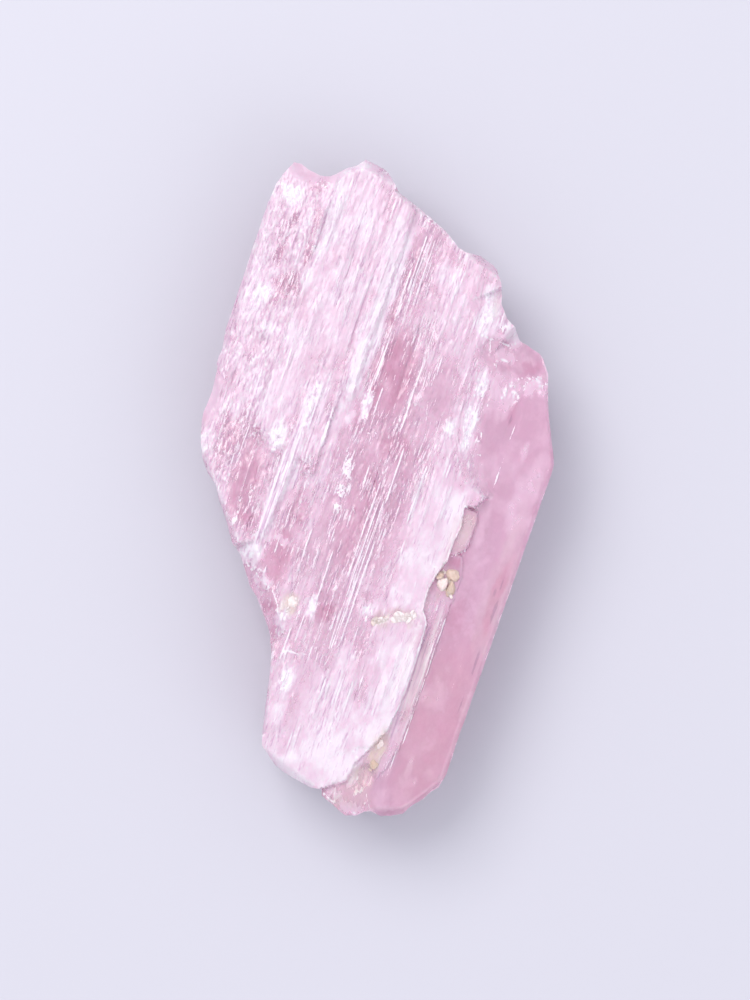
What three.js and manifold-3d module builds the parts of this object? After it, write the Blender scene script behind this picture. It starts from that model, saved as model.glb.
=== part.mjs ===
// Kunzite crystal: one flat blade of pink spodumene, broken at both ends, lying on its back face.
//
// Millimetres. +Y runs along the crystal's c axis, the way its striations run, +X runs across the
// blade and +Z is up. The shape is worked out in plan coordinates, and the last step moves it so
// that the origin is at the bottom centre of its box.
//
// The blade is a prism over its outline. Flat banks stand on it at slightly different heights,
// ribs and grooves run along the banks, and sloping facets trim the rim above and below.

import * as THREE from 'three';
import { ConvexGeometry } from 'three/addons/geometries/ConvexGeometry.js';
import { mergeVertices } from 'three/addons/utils/BufferGeometryUtils.js';
import Module from 'manifold-3d';

// Heights above the back face.
const SLAB_TOP = 8.4;
const GLASSY_TOP = 9.5;
const TERRACE_TOP = 9.85;
const RECESS_TOP = 10.05;
const ETCHED_TOP = 10.15;
const PLATE_TOP = 10.5;
const COMB_TOP = 10.65;
const BANK_TOP = 10.8;
const CREST_TOP = 11.0;
const CLEAR_ABOVE = 16;
const CLEAR_BELOW = -4;

// Where the two side faces stand furthest out, and the middle of the outline's box in plan.
const SIDE_X = 16.9;
const PLAN_CENTRE = [0.02, -0.16];

// The blade's outline seen from above, clockwise, one list for each stretch of its rim.
const UPPER_END = [
  [-16.9, 22.6], [-16.7, 24.6], [-16.4, 25.6], [-15.8, 27.1], [-15.0, 27.2], [-14.2, 26.9],
  [-13.0, 26.7], [-12.0, 26.9], [-11.4, 27.5], [-10.8, 28.2], [-10.1, 28.6], [-9.4, 29.5],
  [-8.3, 29.4], [-7.6, 29.3], [-7.0, 29.0], [-5.8, 27.9], [-5.3, 27.4], [-3.6, 26.9],
  [-2.0, 26.3], [0.0, 25.5], [0.6, 25.1], [1.6, 24.4], [2.4, 24.2], [3.9, 24.4],
  [5.2, 24.0], [5.7, 23.7], [6.6, 22.4],
];
const UPPER_RIGHT_SHOULDER = [
  [7.0, 21.5], [7.2, 20.8], [8.1, 19.6], [9.2, 19.1], [10.0, 18.1], [11.0, 17.9],
  [12.2, 17.6], [12.7, 17.2], [13.6, 16.0], [14.2, 14.1], [15.0, 12.0], [16.0, 10.0],
  [16.9, 8.0],
];
const RIGHT_SIDE = [
  [16.95, 7.4], [16.9, 3.0], [16.85, -7.0], [16.8, -14.0], [16.75, -20.0], [16.8, -23.0],
];
const LOWER_END = [
  [16.5, -24.5], [16.0, -25.1], [15.4, -26.1], [14.6, -27.0], [14.1, -28.0], [13.0, -28.6],
  [12.2, -28.9], [11.1, -28.7], [10.6, -28.9], [9.9, -29.6], [9.0, -29.9], [8.1, -29.6],
  [7.3, -29.2], [6.2, -28.8], [6.0, -28.2], [5.0, -28.4], [3.0, -28.1], [2.0, -27.9],
  [1.2, -27.6], [0.0, -26.6], [-0.7, -26.1],
];
const LOWER_LEFT_FRACTURE = [
  [-1.1, -24.8], [-1.6, -22.5], [-2.1, -19.8], [-2.8, -17.2], [-3.6, -15.7], [-4.7, -14.3],
  [-5.8, -13.0], [-6.8, -12.2], [-7.6, -11.0], [-8.5, -9.8], [-9.6, -8.95], [-10.3, -7.9],
  [-11.1, -6.7], [-12.1, -5.5], [-12.8, -4.3], [-14.0, -3.4], [-15.0, -2.1],
];
const LEFT_SIDE = [
  [-15.5, -0.9], [-16.1, 1.0], [-16.2, 1.8], [-16.1, 4.0], [-16.3, 6.1], [-16.6, 6.8],
  [-16.5, 8.2], [-16.8, 10.0], [-16.85, 14.0],
];
const OUTLINE = [
  ...UPPER_END, ...UPPER_RIGHT_SHOULDER, ...RIGHT_SIDE,
  ...LOWER_END, ...LOWER_LEFT_FRACTURE, ...LEFT_SIDE,
];

// The broken edge where the upper plate stops and the terrace and the glassy face begin.
const LEDGE = [
  [11.8, 3.0], [11.1, 1.7], [10.1, 1.4], [10.45, -0.6], [10.2, -1.9], [10.2, -4.0],
  [9.7, -5.4], [9.4, -7.4], [9.6, -9.0], [10.3, -10.0], [10.5, -13.0], [10.45, -18.0],
  [10.1, -20.9], [9.2, -22.8], [8.1, -24.9], [8.0, -26.5], [7.0, -27.4], [5.9, -28.2],
];

// Banks: flat growth steps. Each has its outline in plan, its height at the place given by
// "at", and how much it falls for each millimetre to the right.
const BANKS = [
  {
    name: 'glassy face',
    top: GLASSY_TOP,
    at: 11,
    fall: 0.07,
    points: [[7, 14.9], [18, 14.9], [18, -31], [7, -31]],
  },
  {
    name: 'slope from the plate down to the glassy face',
    top: PLATE_TOP,
    at: 6,
    fall: 0.19,
    points: [[5, 31], [12.5, 31], [14.5, 12.0], [12.5, 3.6], [9.4, 3.2], [5, 3.2]],
  },
  {
    name: 'floor of the recess in the ledge',
    top: RECESS_TOP,
    at: 10.4,
    fall: 0.2,
    points: [
      [9.0, 1.6], [11.5, 1.3], [11.7, 0.0], [11.65, -1.6], [11.4, -2.5], [10.9, -3.1],
      [10.2, -3.3], [9.0, -3.3],
    ],
  },
  {
    name: 'terrace below the ledge',
    top: TERRACE_TOP,
    at: 10.4,
    fall: 0.12,
    points: [
      [9.0, -3.0], [11.5, -3.0], [11.9, -4.0], [12.0, -5.2], [11.9, -8.0], [11.9, -14.0],
      [11.8, -19.0], [11.6, -22.5], [11.2, -24.2], [10.4, -26.0], [7.0, -26.0],
    ],
  },
  {
    name: 'etched left flank',
    top: ETCHED_TOP,
    at: -11.2,
    fall: -0.12,
    points: [[-18, 31], [-10.2, 31], [-10.2, 9], [-8.6, 1], [-8.6, -9.6], [-18, -9.6]],
  },
  {
    name: 'upper plate',
    top: PLATE_TOP,
    at: 0,
    fall: 0,
    points: [
      [-11.2, 31], [6.0, 31], [6.0, 12.5], [7.0, 8.5], [8.6, 5.8], [10.1, 4.3],
      ...LEDGE, [5.9, -31], [-9.2, -31], [-9.2, 1], [-11.2, 9],
    ],
  },
  {
    name: 'upper left bank',
    top: BANK_TOP,
    at: -8,
    fall: -0.03,
    points: [[-11.2, 31], [-4.4, 31], [-4.4, 0], [-11.2, 2]],
  },
  {
    name: 'white crest',
    top: CREST_TOP,
    at: -4,
    fall: 0,
    points: [[-5.1, 31], [-3.3, 31], [-3.3, 8], [-4.6, 8]],
  },
  {
    name: 'left crest',
    top: CREST_TOP,
    at: -7,
    fall: 0,
    points: [[-7.5, 9], [-6.1, 9], [-6.3, 0], [-6.9, -8.5], [-8, -8.5]],
  },
  {
    name: 'right bank',
    top: BANK_TOP,
    at: 5,
    fall: 0.02,
    points: [
      [2.4, 31], [4.8, 31], [5.2, 12.4], [6.0, 8.0], [8.0, 3.8], [8.6, -4], [6.0, -4],
      [5.8, 9], [2.4, 9],
    ],
  },
  {
    name: 'comb bank',
    top: COMB_TOP,
    at: 2.4,
    fall: 0,
    points: [[1.7, 8], [3.3, 8], [3.3, -16], [1.7, -16]],
  },
  {
    name: 'lower bank',
    top: BANK_TOP,
    at: 6,
    fall: 0.02,
    points: [
      [5.8, -11.5], [7.0, -10.6], [8.8, -9.7], [10.3, -10.4], [10.45, -13], [10.4, -18],
      [10.05, -20.9], [9.1, -22.8], [5.2, -25], [4.6, -17],
    ],
  },
];

// Ribs: long low roofs along Y. Place across, upper end, lower end, width, height of the ridge.
const RIBS = [
  [-15.6, 23.5, 12.0, 0.9, 9.8], [-14.3, 25.0, 15.5, 0.8, 9.95], [-13.4, 14.5, 8.0, 0.9, 10.05],
  [-12.4, 24.0, 11.0, 0.8, 10.2], [-15.3, 9.5, 0.5, 0.8, 9.8], [-13.9, 6.5, -2.2, 0.9, 10.0],
  [-12.1, 7.0, -4.0, 0.8, 10.25], [-10.4, 27.0, 19.5, 1.2, 11.05], [-9.2, 18.5, 8.5, 0.9, 10.95],
  [-8.2, 28.0, 14.0, 0.9, 11.0], [-6.6, 26.5, 11.5, 1.1, 11.05], [-5.6, 10.5, 1.0, 0.8, 11.0],
  [-10.3, 1.0, -6.4, 0.9, 10.6], [-8.6, 0.0, -6.0, 0.7, 10.65], [-5.5, -3.5, -11.0, 0.8, 10.65],
  [-4.4, 24.5, 12.5, 0.8, 11.2], [-3.8, 5.0, -6.5, 0.7, 10.65], [-2.8, -4.0, -12.0, 0.8, 10.7],
  [-1.6, 25.0, 16.0, 0.6, 10.7], [-1.5, 14.5, 5.8, 0.8, 10.7], [-0.6, 24.4, 17.0, 0.5, 10.65],
  [-1.5, -5.6, -10.0, 0.7, 10.7], [-0.2, -4.6, -13.0, 0.8, 10.7], [0.6, 4.0, -3.0, 0.8, 10.65],
  [1.2, -7.0, -18.5, 0.8, 10.65], [2.6, 23.6, 10.5, 0.9, 11.0], [3.7, 22.8, 15.0, 0.7, 10.95],
  [4.0, -4.0, -15.5, 0.8, 10.7], [5.0, 21.5, 13.5, 0.9, 10.85], [5.4, 4.6, -2.5, 0.7, 10.9],
  [6.2, 16.0, 7.5, 0.9, 10.6], [6.6, 5.0, -3.5, 0.9, 10.95], [7.9, 4.6, -4.0, 0.8, 10.9],
  [5.4, -12.5, -22.0, 0.9, 10.95], [7.0, -11.8, -22.6, 1.0, 11.0], [8.6, -10.8, -22.0, 0.9, 11.0],
  [9.5, -11.0, -20.0, 0.8, 10.95], [3.0, -17.5, -24.0, 0.8, 10.7], [0.6, -19.0, -24.0, 0.8, 10.65],
  [11.5, -8.0, -21.0, 0.5, 9.85],
];

// Grooves cut along Y from above. Place across, upper end, lower end, width, height of the floor.
const GROOVES = [
  [-11.2, 25.5, 16.5, 0.8, 10.15], [-9.7, 15.5, 3.0, 0.9, 10.6], [-7.4, 24.0, 13.0, 0.7, 10.65],
  [-5.1, 22.0, 9.0, 0.6, 10.7], [-2.3, 23.0, 7.0, 1.1, 10.3], [0.7, 20.5, 7.0, 1.4, 10.3],
  [-9.4, -0.5, -7.0, 0.7, 10.35], [-5.0, 0.5, -8.0, 1.0, 10.3], [-1.0, 2.6, -4.0, 0.8, 10.3],
  [1.3, 5.5, -6.0, 0.5, 10.35], [4.5, 11.0, -3.0, 0.9, 10.5], [3.6, -17.0, -21.5, 0.6, 10.35],
  [6.1, -13.0, -22.0, 0.5, 10.65], [7.8, -13.0, -22.5, 0.5, 10.65], [-0.4, -14.5, -22.0, 0.9, 10.3],
  [-13.0, 22.5, 12.5, 0.7, 9.8], [-14.6, 9.0, 1.0, 0.7, 9.6],
];

// Grooves cut along Y into the back face. Place across, upper end, lower end, width, depth.
const BACK_GROOVES = [
  [-10.4, 20.0, 1.0, 0.9, 0.35], [-7.6, 22.0, -4.0, 0.8, 0.3], [-4.7, 16.5, -10.0, 1.1, 0.4],
  [-2.6, 12.0, -16.0, 0.6, 0.25], [-0.9, 16.0, -21.0, 0.8, 0.3], [1.6, 4.0, -20.0, 0.7, 0.3],
  [3.1, 14.0, -22.0, 1.2, 0.4], [5.6, 16.0, -6.0, 0.7, 0.3], [7.4, 10.0, -22.0, 0.8, 0.3],
];

// Growth steps on the back: plan outline and depth.
const BACK_STEPS = [
  { depth: 0.75, points: [[9.4, 11], [18, 11], [18, -27], [8.6, -27], [9.0, -8]] },
  { depth: 1.3, points: [[12.9, 9], [18, 9], [18, -29], [12.3, -29]] },
  { depth: 0.9, points: [[-18, 27], [-12.9, 27], [-12.4, 3], [-13.6, -7], [-18, -7]] },
  { depth: 0.6, points: [[-3.6, 31], [7, 31], [6.6, 16.5], [-3.2, 18.4]] },
];

// Grooves cut along Y into the side faces. Side (-1 left, 1 right), height, upper end, lower
// end, width, depth.
const SIDE_GROOVES = [
  [1, 6.4, 7.0, -21.0, 0.9, 0.35], [1, 4.6, 5.0, -23.0, 1.2, 0.5], [1, 2.6, 4.0, -18.0, 0.8, 1.2],
  [-1, 5.4, 22.0, 3.0, 0.9, 0.4], [-1, 3.4, 21.0, 6.0, 1.0, 0.5], [-1, 7.4, 20.0, 8.0, 0.8, 1.0],
];

// Facets that trim the upper rim. Each plane runs through the line from "from" to "to", at the
// height given, and rises inwards at the slope in degrees. "past" lengthens it at both ends.
const TOP_FACETS = [
  { name: 'right rim', from: [16.95, 8.0], to: [16.78, -24], height: 8.7, slope: 48, past: 0.6 },
  { name: 'right shoulder', from: [13.9, 15.0], to: [16.9, 8.0], height: 8.7, slope: 58, past: 0.4 },
  { name: 'shoulder face', from: [9.8, 18.3], to: [13.8, 16.2], height: 8.0, slope: 30, past: 0.6 },
  { name: 'shoulder chip', from: [6.9, 21.6], to: [9.9, 18.2], height: 9.6, slope: 24, past: 0.4 },
  { name: 'upper end right', from: [-5.2, 27.5], to: [6.6, 22.9], height: 10.2, slope: 62, past: 0.5 },
  { name: 'upper end left', from: [-11.0, 29.2], to: [-5.0, 28.2], height: 10.2, slope: 60, past: 0.3 },
  { name: 'upper left edge', from: [-12.6, 26.6], to: [-9.6, 29.2], height: 9.6, slope: 62, past: 0.2 },
  { name: 'left side', from: [-16.1, 1.0], to: [-16.95, 23], height: 8.9, slope: 57, past: 1.0 },
  { name: 'left lower', from: [-9.4, -9.1], to: [-16.0, -0.4], height: 9.3, slope: 62, past: 1.4 },
  { name: 'sliver upper', from: [-3.7, -15.8], to: [-8.6, -9.9], height: 8.4, slope: 52, past: 0.8 },
  { name: 'sliver lower', from: [-1.2, -24.6], to: [-3.4, -15.8], height: 9.4, slope: 68, past: 0.4 },
  { name: 'lower end steep', from: [6.1, -28.5], to: [-1.0, -26.2], height: 9.8, slope: 60, past: 1 },
  { name: 'lower end face', from: [7.2, -28.9], to: [-1.6, -26.9], height: 10.0, slope: 8, past: 2 },
  { name: 'foot', from: [10.4, -29.4], to: [7.2, -29.4], height: 9.0, slope: 25, past: 0.1 },
  { name: 'foot right', from: [14.4, -27.7], to: [11.0, -29.2], height: 8.7, slope: 52, past: 0.4 },
  { name: 'foot corner', from: [16.9, -23.6], to: [14.2, -27.9], height: 8.7, slope: 52, past: 0.4 },
];

// Facets that trim the lower rim. The plane falls inwards at the slope until it meets the back.
const BACK_FACETS = [
  { name: 'right', from: [16.95, 8.4], to: [16.78, -24], height: 5.6, slope: 66, past: 0.8 },
  { name: 'shoulder', from: [6.6, 22.4], to: [17.0, 8.0], height: 5.2, slope: 47, past: 1 },
  { name: 'upper end', from: [-11.0, 29.6], to: [6.8, 23.0], height: 6.0, slope: 55, past: 1 },
  { name: 'upper corner', from: [-17.4, 25.6], to: [-10.6, 28.6], height: 4.6, slope: 50, past: 0.5 },
  { name: 'left', from: [-15.9, -1.0], to: [-17.0, 25], height: 4.2, slope: 63, past: 1 },
  { name: 'left lower', from: [-8.6, -9.8], to: [-15.9, -0.6], height: 4.4, slope: 55, past: 0.6 },
  { name: 'fracture lower', from: [-1.0, -25.6], to: [-3.2, -16.2], height: 3.0, slope: 66, past: 0.8 },
  { name: 'fracture upper', from: [-3.2, -16.2], to: [-8.7, -9.9], height: 3.0, slope: 66, past: 0.8 },
  { name: 'foot left', from: [9.4, -30.0], to: [-1.4, -26.0], height: 3.0, slope: 42, past: 1 },
  { name: 'foot right', from: [17.2, -23.4], to: [9.6, -30.2], height: 4.6, slope: 47, past: 1 },
];

// Shell-shaped break scars, each a shallow bowl: centre, radius.
const SCOOPS = [
  { name: 'upper left corner', centre: [-14.4, 28.6, 13.0], radius: 4.45 },
  { name: 'shoulder hollow', centre: [11.0, 16.4, 12.5], radius: 3.6 },
  { name: 'hollow beside the crack', centre: [8.0, 16.3, 11.6], radius: 2.0 },
  { name: 'left notch', centre: [-18.2, 3.4, 11.4], radius: 3.4 },
  { name: 'foot hollow', centre: [9.5, -25.6, 10.7], radius: 1.4 },
];

// Grains of pale matrix caught in the ledge and along the crack. Centre, then half sizes.
const GRAINS = [
  { centre: [11.1, -5.0, 9.8], half: [0.6, 0.62, 0.34] },
  { centre: [11.4, -6.4, 9.75], half: [0.4, 0.82, 0.34] },
  { centre: [10.0, -5.4, 9.95], half: [0.36, 0.5, 0.34] },
  { centre: [10.5, -6.2, 9.85], half: [0.46, 0.8, 0.34] },
  { centre: [-2.3, -12.3, 10.28], half: [0.74, 0.66, 0.3] },
  { centre: [-2.55, -13.3, 10.18], half: [0.5, 0.52, 0.3] },
  { centre: [9.7, -22.6, 9.68], half: [0.4, 1.0, 0.3] },
  { centre: [9.8, -24.0, 9.62], half: [0.5, 0.76, 0.3] },
];

// Seams of smaller lumps, evenly spaced from one end to the other.
const SEAMS = [
  { name: 'crack, left', from: [5.8, -11.3, 10.68], to: [6.8, -10.9, 10.68], count: 3 },
  { name: 'crack, right', from: [7.2, -10.6, 10.7], to: [8.8, -10.0, 10.7], count: 4 },
];
const SEAM_LUMP = [0.42, 0.36, 0.2]; // half sizes of one lump of a seam

const TAPER = 3.2; // length over which a rib or groove fades out at each end
const TAPER_SHARE = 0.35; // a short rib or groove gives this much of its length to each taper
const TAPER_DROP = 0.5; // how far a ridge sinks over its taper
const RIB_SLOPE = 0.5; // how steep the sides of a rib 1 mm wide are
const GROOVE_SLOPE = 0.8; // the same for a groove
const RIB_ROOT = 0.6; // how far a rib's sides reach below its ridge
const MOUTH = 1.2; // how far a groove's sides reach above its floor
const FACET_REACH = 5; // how far a facet's cut reaches outside the rim
const BANK_FOOT = 2; // how far a bank's foot stands in the slab
const BOWL_MERIDIANS = 28;
const BOWL_RINGS = 18;
const WELD = 1e-4; // corners closer than this are one corner

const wasm = await Module();
wasm.setup();

// A closed three.js geometry as a solid for cutting and joining.
function solid(geometry) {
  const bare = geometry.index ? geometry.toNonIndexed() : geometry;
  bare.deleteAttribute('normal');
  bare.deleteAttribute('uv');
  const merged = mergeVertices(bare, WELD);
  return new wasm.Manifold(new wasm.Mesh({
    numProp: 3,
    vertProperties: new Float32Array(merged.attributes.position.array),
    triVerts: new Uint32Array(merged.index.array),
  }));
}

// The solid back as a three.js geometry with flat facets.
function geometryOf(manifold) {
  const mesh = manifold.getMesh();
  const geometry = new THREE.BufferGeometry();
  geometry.setAttribute('position', new THREE.BufferAttribute(mesh.vertProperties, 3));
  geometry.setIndex(new THREE.BufferAttribute(mesh.triVerts, 1));
  return geometry;
}

function hull(points) {
  return solid(new ConvexGeometry(points.map((p) => new THREE.Vector3(...p))));
}

// A prism over a plan outline, from one height to another.
function prism(points, low, high) {
  const shape = new THREE.Shape(points.map((p) => new THREE.Vector2(...p)));
  const geometry = new THREE.ExtrudeGeometry(shape, { depth: high - low, bevelEnabled: false });
  geometry.translate(0, 0, low);
  return geometry;
}

// A growth step: a prism whose top slopes across the blade.
function bank({ top, at, fall, points }) {
  const geometry = prism(points, SLAB_TOP - BANK_FOOT, top);
  const position = geometry.attributes.position;
  for (let i = 0; i < position.count; i += 1) {
    if (position.getZ(i) > SLAB_TOP) {
      position.setZ(i, top - fall * (position.getX(i) - at));
    }
  }
  return solid(geometry);
}

// A wedge-shaped bar along Y: an edge from upper to lower, and a longer rectangle at "reach" from
// it in the direction "to" (x, z), "half" wide on each side. The edge ends a taper short of the
// place where it would have sunk by TAPER_DROP.
function bar({ x, z, upper, lower, half, reach, to }) {
  const taper = Math.min(TAPER, (upper - lower) * TAPER_SHARE);
  const run = (taper * reach) / TAPER_DROP;
  const [toX, toZ] = to;
  const mouth = (side, y) => [x + reach * toX + side * half * toZ, y, z + reach * toZ + side * half * toX];
  const top = upper - taper;
  const bottom = lower + taper;
  return hull([
    mouth(-1, top + run), mouth(1, top + run), mouth(-1, bottom - run), mouth(1, bottom - run),
    [x, top, z], [x, bottom, z],
  ]);
}

// A long roof along Y whose ridge fades out at both ends.
function rib([x, upper, lower, width, ridge]) {
  const half = (width * RIB_ROOT) / RIB_SLOPE;
  return bar({ x, z: ridge, upper, lower, half, reach: RIB_ROOT, to: [0, -1] });
}

// A V-shaped trough along Y, open upwards.
function groove([x, upper, lower, width, floor]) {
  const half = (width * MOUTH) / GROOVE_SLOPE;
  return bar({ x, z: floor, upper, lower, half, reach: MOUTH, to: [0, 1] });
}

// The same trough cut upwards into the back face.
function backGroove([x, upper, lower, width, depth]) {
  const half = (width * 0.5 * MOUTH) / depth;
  return bar({ x, z: depth, upper, lower, half, reach: MOUTH, to: [0, -1] });
}

// The same trough cut into a side face, depth deep where the side stands furthest out.
function sideGroove([side, z, upper, lower, width, depth]) {
  const x = side * (SIDE_X - depth);
  return bar({ x, z, upper, lower, half: (width * 0.5 * MOUTH) / depth, reach: MOUTH, to: [side, 0] });
}

// The material outside one facet: a wedge along its line, above the plane (side 1) or below
// it (side -1). The blade lies to the right of the line as it runs clockwise round the rim.
function wedge({ from, to, height, slope, past }, side) {
  const limit = side > 0 ? CLEAR_ABOVE : CLEAR_BELOW;
  const rise = Math.tan(THREE.MathUtils.degToRad(slope));
  const start = new THREE.Vector2(...from);
  const end = new THREE.Vector2(...to);
  const along = end.clone().sub(start).normalize();
  const inward = new THREE.Vector2(along.y, -along.x);
  const depth = Math.abs(limit - height) / rise;
  const corner = (base, sign, inset, z) => {
    const p = base.clone().addScaledVector(along, sign * past).addScaledVector(inward, inset);
    return [p.x, p.y, z];
  };
  return hull([[start, -1], [end, 1]].flatMap(([base, sign]) => [
    corner(base, sign, depth, limit),
    corner(base, sign, -FACET_REACH, limit),
    corner(base, sign, -FACET_REACH, height - side * FACET_REACH * rise),
  ]));
}

function bowl({ centre, radius }) {
  const geometry = new THREE.SphereGeometry(radius, BOWL_MERIDIANS, BOWL_RINGS);
  geometry.rotateX(Math.PI / 2);
  geometry.translate(...centre);
  return solid(geometry);
}

function grain({ centre, half }, index) {
  const geometry = new THREE.IcosahedronGeometry(1, 1);
  geometry.rotateZ(index);
  geometry.scale(...half);
  geometry.translate(...centre);
  return solid(geometry);
}

// The lumps of one seam, as grains.
function lumps({ from, to, count }) {
  const start = new THREE.Vector3(...from);
  const end = new THREE.Vector3(...to);
  return Array.from({ length: count }, (_, i) => ({
    centre: start.clone().lerp(end, i / (count - 1)).toArray(),
    half: SEAM_LUMP,
  }));
}

// The blade: slab and banks, held to the outline, then ribbed, grooved and trimmed.
function crystal() {
  const slab = solid(prism(OUTLINE, 0, SLAB_TOP));
  const raised = wasm.Manifold.union([slab, ...BANKS.map(bank), ...RIBS.map(rib)]);
  const held = raised.intersect(solid(prism(OUTLINE, 0, CLEAR_ABOVE)));
  return wasm.Manifold.difference([
    held,
    ...GROOVES.map(groove),
    ...TOP_FACETS.map((facet) => wedge(facet, 1)),
    ...BACK_FACETS.map((facet) => wedge(facet, -1)),
    ...BACK_GROOVES.map(backGroove),
    ...SIDE_GROOVES.map(sideGroove),
    ...BACK_STEPS.map(({ depth, points }) => solid(prism(points, CLEAR_BELOW, depth))),
    ...SCOOPS.map(bowl),
  ]);
}

// The solid moved so that the origin is at the bottom centre of its box.
function placed(manifold) {
  const geometry = geometryOf(manifold);
  geometry.translate(-PLAN_CENTRE[0], -PLAN_CENTRE[1], 0);
  return geometry;
}

const kunzite = new THREE.MeshStandardMaterial({
  color: new THREE.Color(0.87, 0.68, 0.8),
  roughness: 0.28,
  metalness: 0,
});

const body = wasm.Manifold.union([crystal(), ...[...GRAINS, ...SEAMS.flatMap(lumps)].map(grain)]);
const mesh = new THREE.Mesh(placed(body), kunzite);
mesh.name = 'kunzite_crystal';

const group = new THREE.Group();
group.add(mesh);

export default group;
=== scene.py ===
"""Kunzite crystal: the finished surface of one flat, striated blade, over its CAD solid.

The blade is worked out in plan coordinates in millimetres, as the solid is: +Y along the
striations, +X across the blade, +Z up from its back face. Its top and its back are height
fields over the outline, joined by a broken wall round the rim.
"""

import math

import bmesh
import bpy
import numpy as np
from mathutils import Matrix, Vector
from mathutils.geometry import delaunay_2d_cdt


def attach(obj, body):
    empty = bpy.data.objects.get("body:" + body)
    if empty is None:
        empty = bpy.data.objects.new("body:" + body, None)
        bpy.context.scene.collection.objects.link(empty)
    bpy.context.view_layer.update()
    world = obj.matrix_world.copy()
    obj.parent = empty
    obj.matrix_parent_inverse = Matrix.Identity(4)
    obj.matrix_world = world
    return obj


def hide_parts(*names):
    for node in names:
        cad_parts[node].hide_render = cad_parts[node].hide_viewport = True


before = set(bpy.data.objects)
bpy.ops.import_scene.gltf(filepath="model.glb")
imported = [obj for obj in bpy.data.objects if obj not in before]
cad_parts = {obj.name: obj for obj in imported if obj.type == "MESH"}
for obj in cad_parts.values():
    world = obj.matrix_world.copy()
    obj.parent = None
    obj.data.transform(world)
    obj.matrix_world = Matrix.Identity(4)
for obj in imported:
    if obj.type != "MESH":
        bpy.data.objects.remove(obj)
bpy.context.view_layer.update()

MM = 0.001
PLAN_CENTRE = (0.02, -0.16)  # middle of the outline's box, where the part's origin is

# Heights above the back face, in mm.
SLAB_TOP = 8.4
GLASSY_TOP = 9.5
TERRACE_TOP = 9.85
RECESS_TOP = 10.05
ETCHED_TOP = 10.15
PLATE_TOP = 10.5
COMB_TOP = 10.65
BANK_TOP = 10.8
CREST_TOP = 11.0
LEAST_THICKNESS = 0.7

# The blade's outline seen from above, clockwise, one list for each stretch of its rim.
UPPER_END = [
    (-16.9, 22.6), (-16.7, 24.6), (-16.4, 25.6), (-15.8, 27.1), (-15, 27.2), (-14.2, 26.9),
    (-13, 26.7), (-12, 26.9), (-11.4, 27.5), (-10.8, 28.2), (-10.1, 28.6), (-9.4, 29.5),
    (-8.3, 29.4), (-7.6, 29.3), (-7, 29), (-5.8, 27.9), (-5.3, 27.4), (-3.6, 26.9), (-2, 26.3),
    (0, 25.5), (0.6, 25.1), (1.6, 24.4), (2.4, 24.2), (3.9, 24.4), (5.2, 24), (5.7, 23.7),
    (6.6, 22.4),
]
UPPER_RIGHT_SHOULDER = [
    (7, 21.5), (7.2, 20.8), (8.1, 19.6), (9.2, 19.1), (10, 18.1), (11, 17.9), (12.2, 17.6),
    (12.7, 17.2), (13.6, 16), (14.2, 14.1), (15, 12), (16, 10), (16.9, 8),
]
RIGHT_SIDE = [
    (16.95, 7.4), (16.9, 3), (16.85, -7), (16.8, -14), (16.75, -20), (16.8, -23),
]
LOWER_END = [
    (16.5, -24.5), (16, -25.1), (15.4, -26.1), (14.6, -27), (14.1, -28), (13, -28.6),
    (12.2, -28.9), (11.1, -28.7), (10.6, -28.9), (9.9, -29.6), (9, -29.9), (8.1, -29.6),
    (7.3, -29.2), (6.2, -28.8), (6, -28.2), (5, -28.4), (3, -28.1), (2, -27.9), (1.2, -27.6),
    (0, -26.6), (-0.7, -26.1),
]
LOWER_LEFT_FRACTURE = [
    (-1.1, -24.8), (-1.6, -22.5), (-2.1, -19.8), (-2.8, -17.2), (-3.6, -15.7), (-4.7, -14.3),
    (-5.8, -13), (-6.8, -12.2), (-7.6, -11), (-8.5, -9.8), (-9.6, -8.95), (-10.3, -7.9),
    (-11.1, -6.7), (-12.1, -5.5), (-12.8, -4.3), (-14, -3.4), (-15, -2.1),
]
LEFT_SIDE = [
    (-15.5, -0.9), (-16.1, 1), (-16.2, 1.8), (-16.1, 4), (-16.3, 6.1), (-16.6, 6.8), (-16.5, 8.2),
    (-16.8, 10), (-16.85, 14),
]
OUTLINE = (
    UPPER_END + UPPER_RIGHT_SHOULDER + RIGHT_SIDE + LOWER_END + LOWER_LEFT_FRACTURE + LEFT_SIDE
)

# The broken edge where the upper plate stops and the terrace and the glassy face begin.
LEDGE = [
    (11.8, 3), (11.1, 1.7), (10.1, 1.4), (10.45, -0.6), (10.2, -1.9), (10.2, -4), (9.7, -5.4),
    (9.4, -7.4), (9.6, -9), (10.3, -10), (10.5, -13), (10.45, -18), (10.1, -20.9), (9.2, -22.8),
    (8.1, -24.9), (8, -26.5), (7, -27.4), (5.9, -28.2),
]
UPPER_PLATE = [
    (-11.2, 31), (6, 31), (6, 12.5), (7, 8.5), (8.6, 5.8), (10.1, 4.3),
] + LEDGE + [(5.9, -31), (-9.2, -31), (-9.2, 1), (-11.2, 9)]

# How far the striations reach: beyond the plate's own edge where it slopes down above the ledge.
STRIATED = [
    (-11.2, 31), (9.5, 31), (10.2, 17.9), (7.6, 17.3), (7.4, 16), (8.8, 14.3), (8.8, 12),
    (9, 8.4), (9.4, 6.2), (10.3, 4.3),
] + LEDGE + [(5.9, -31), (-18, -31), (-18, 31)]

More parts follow.
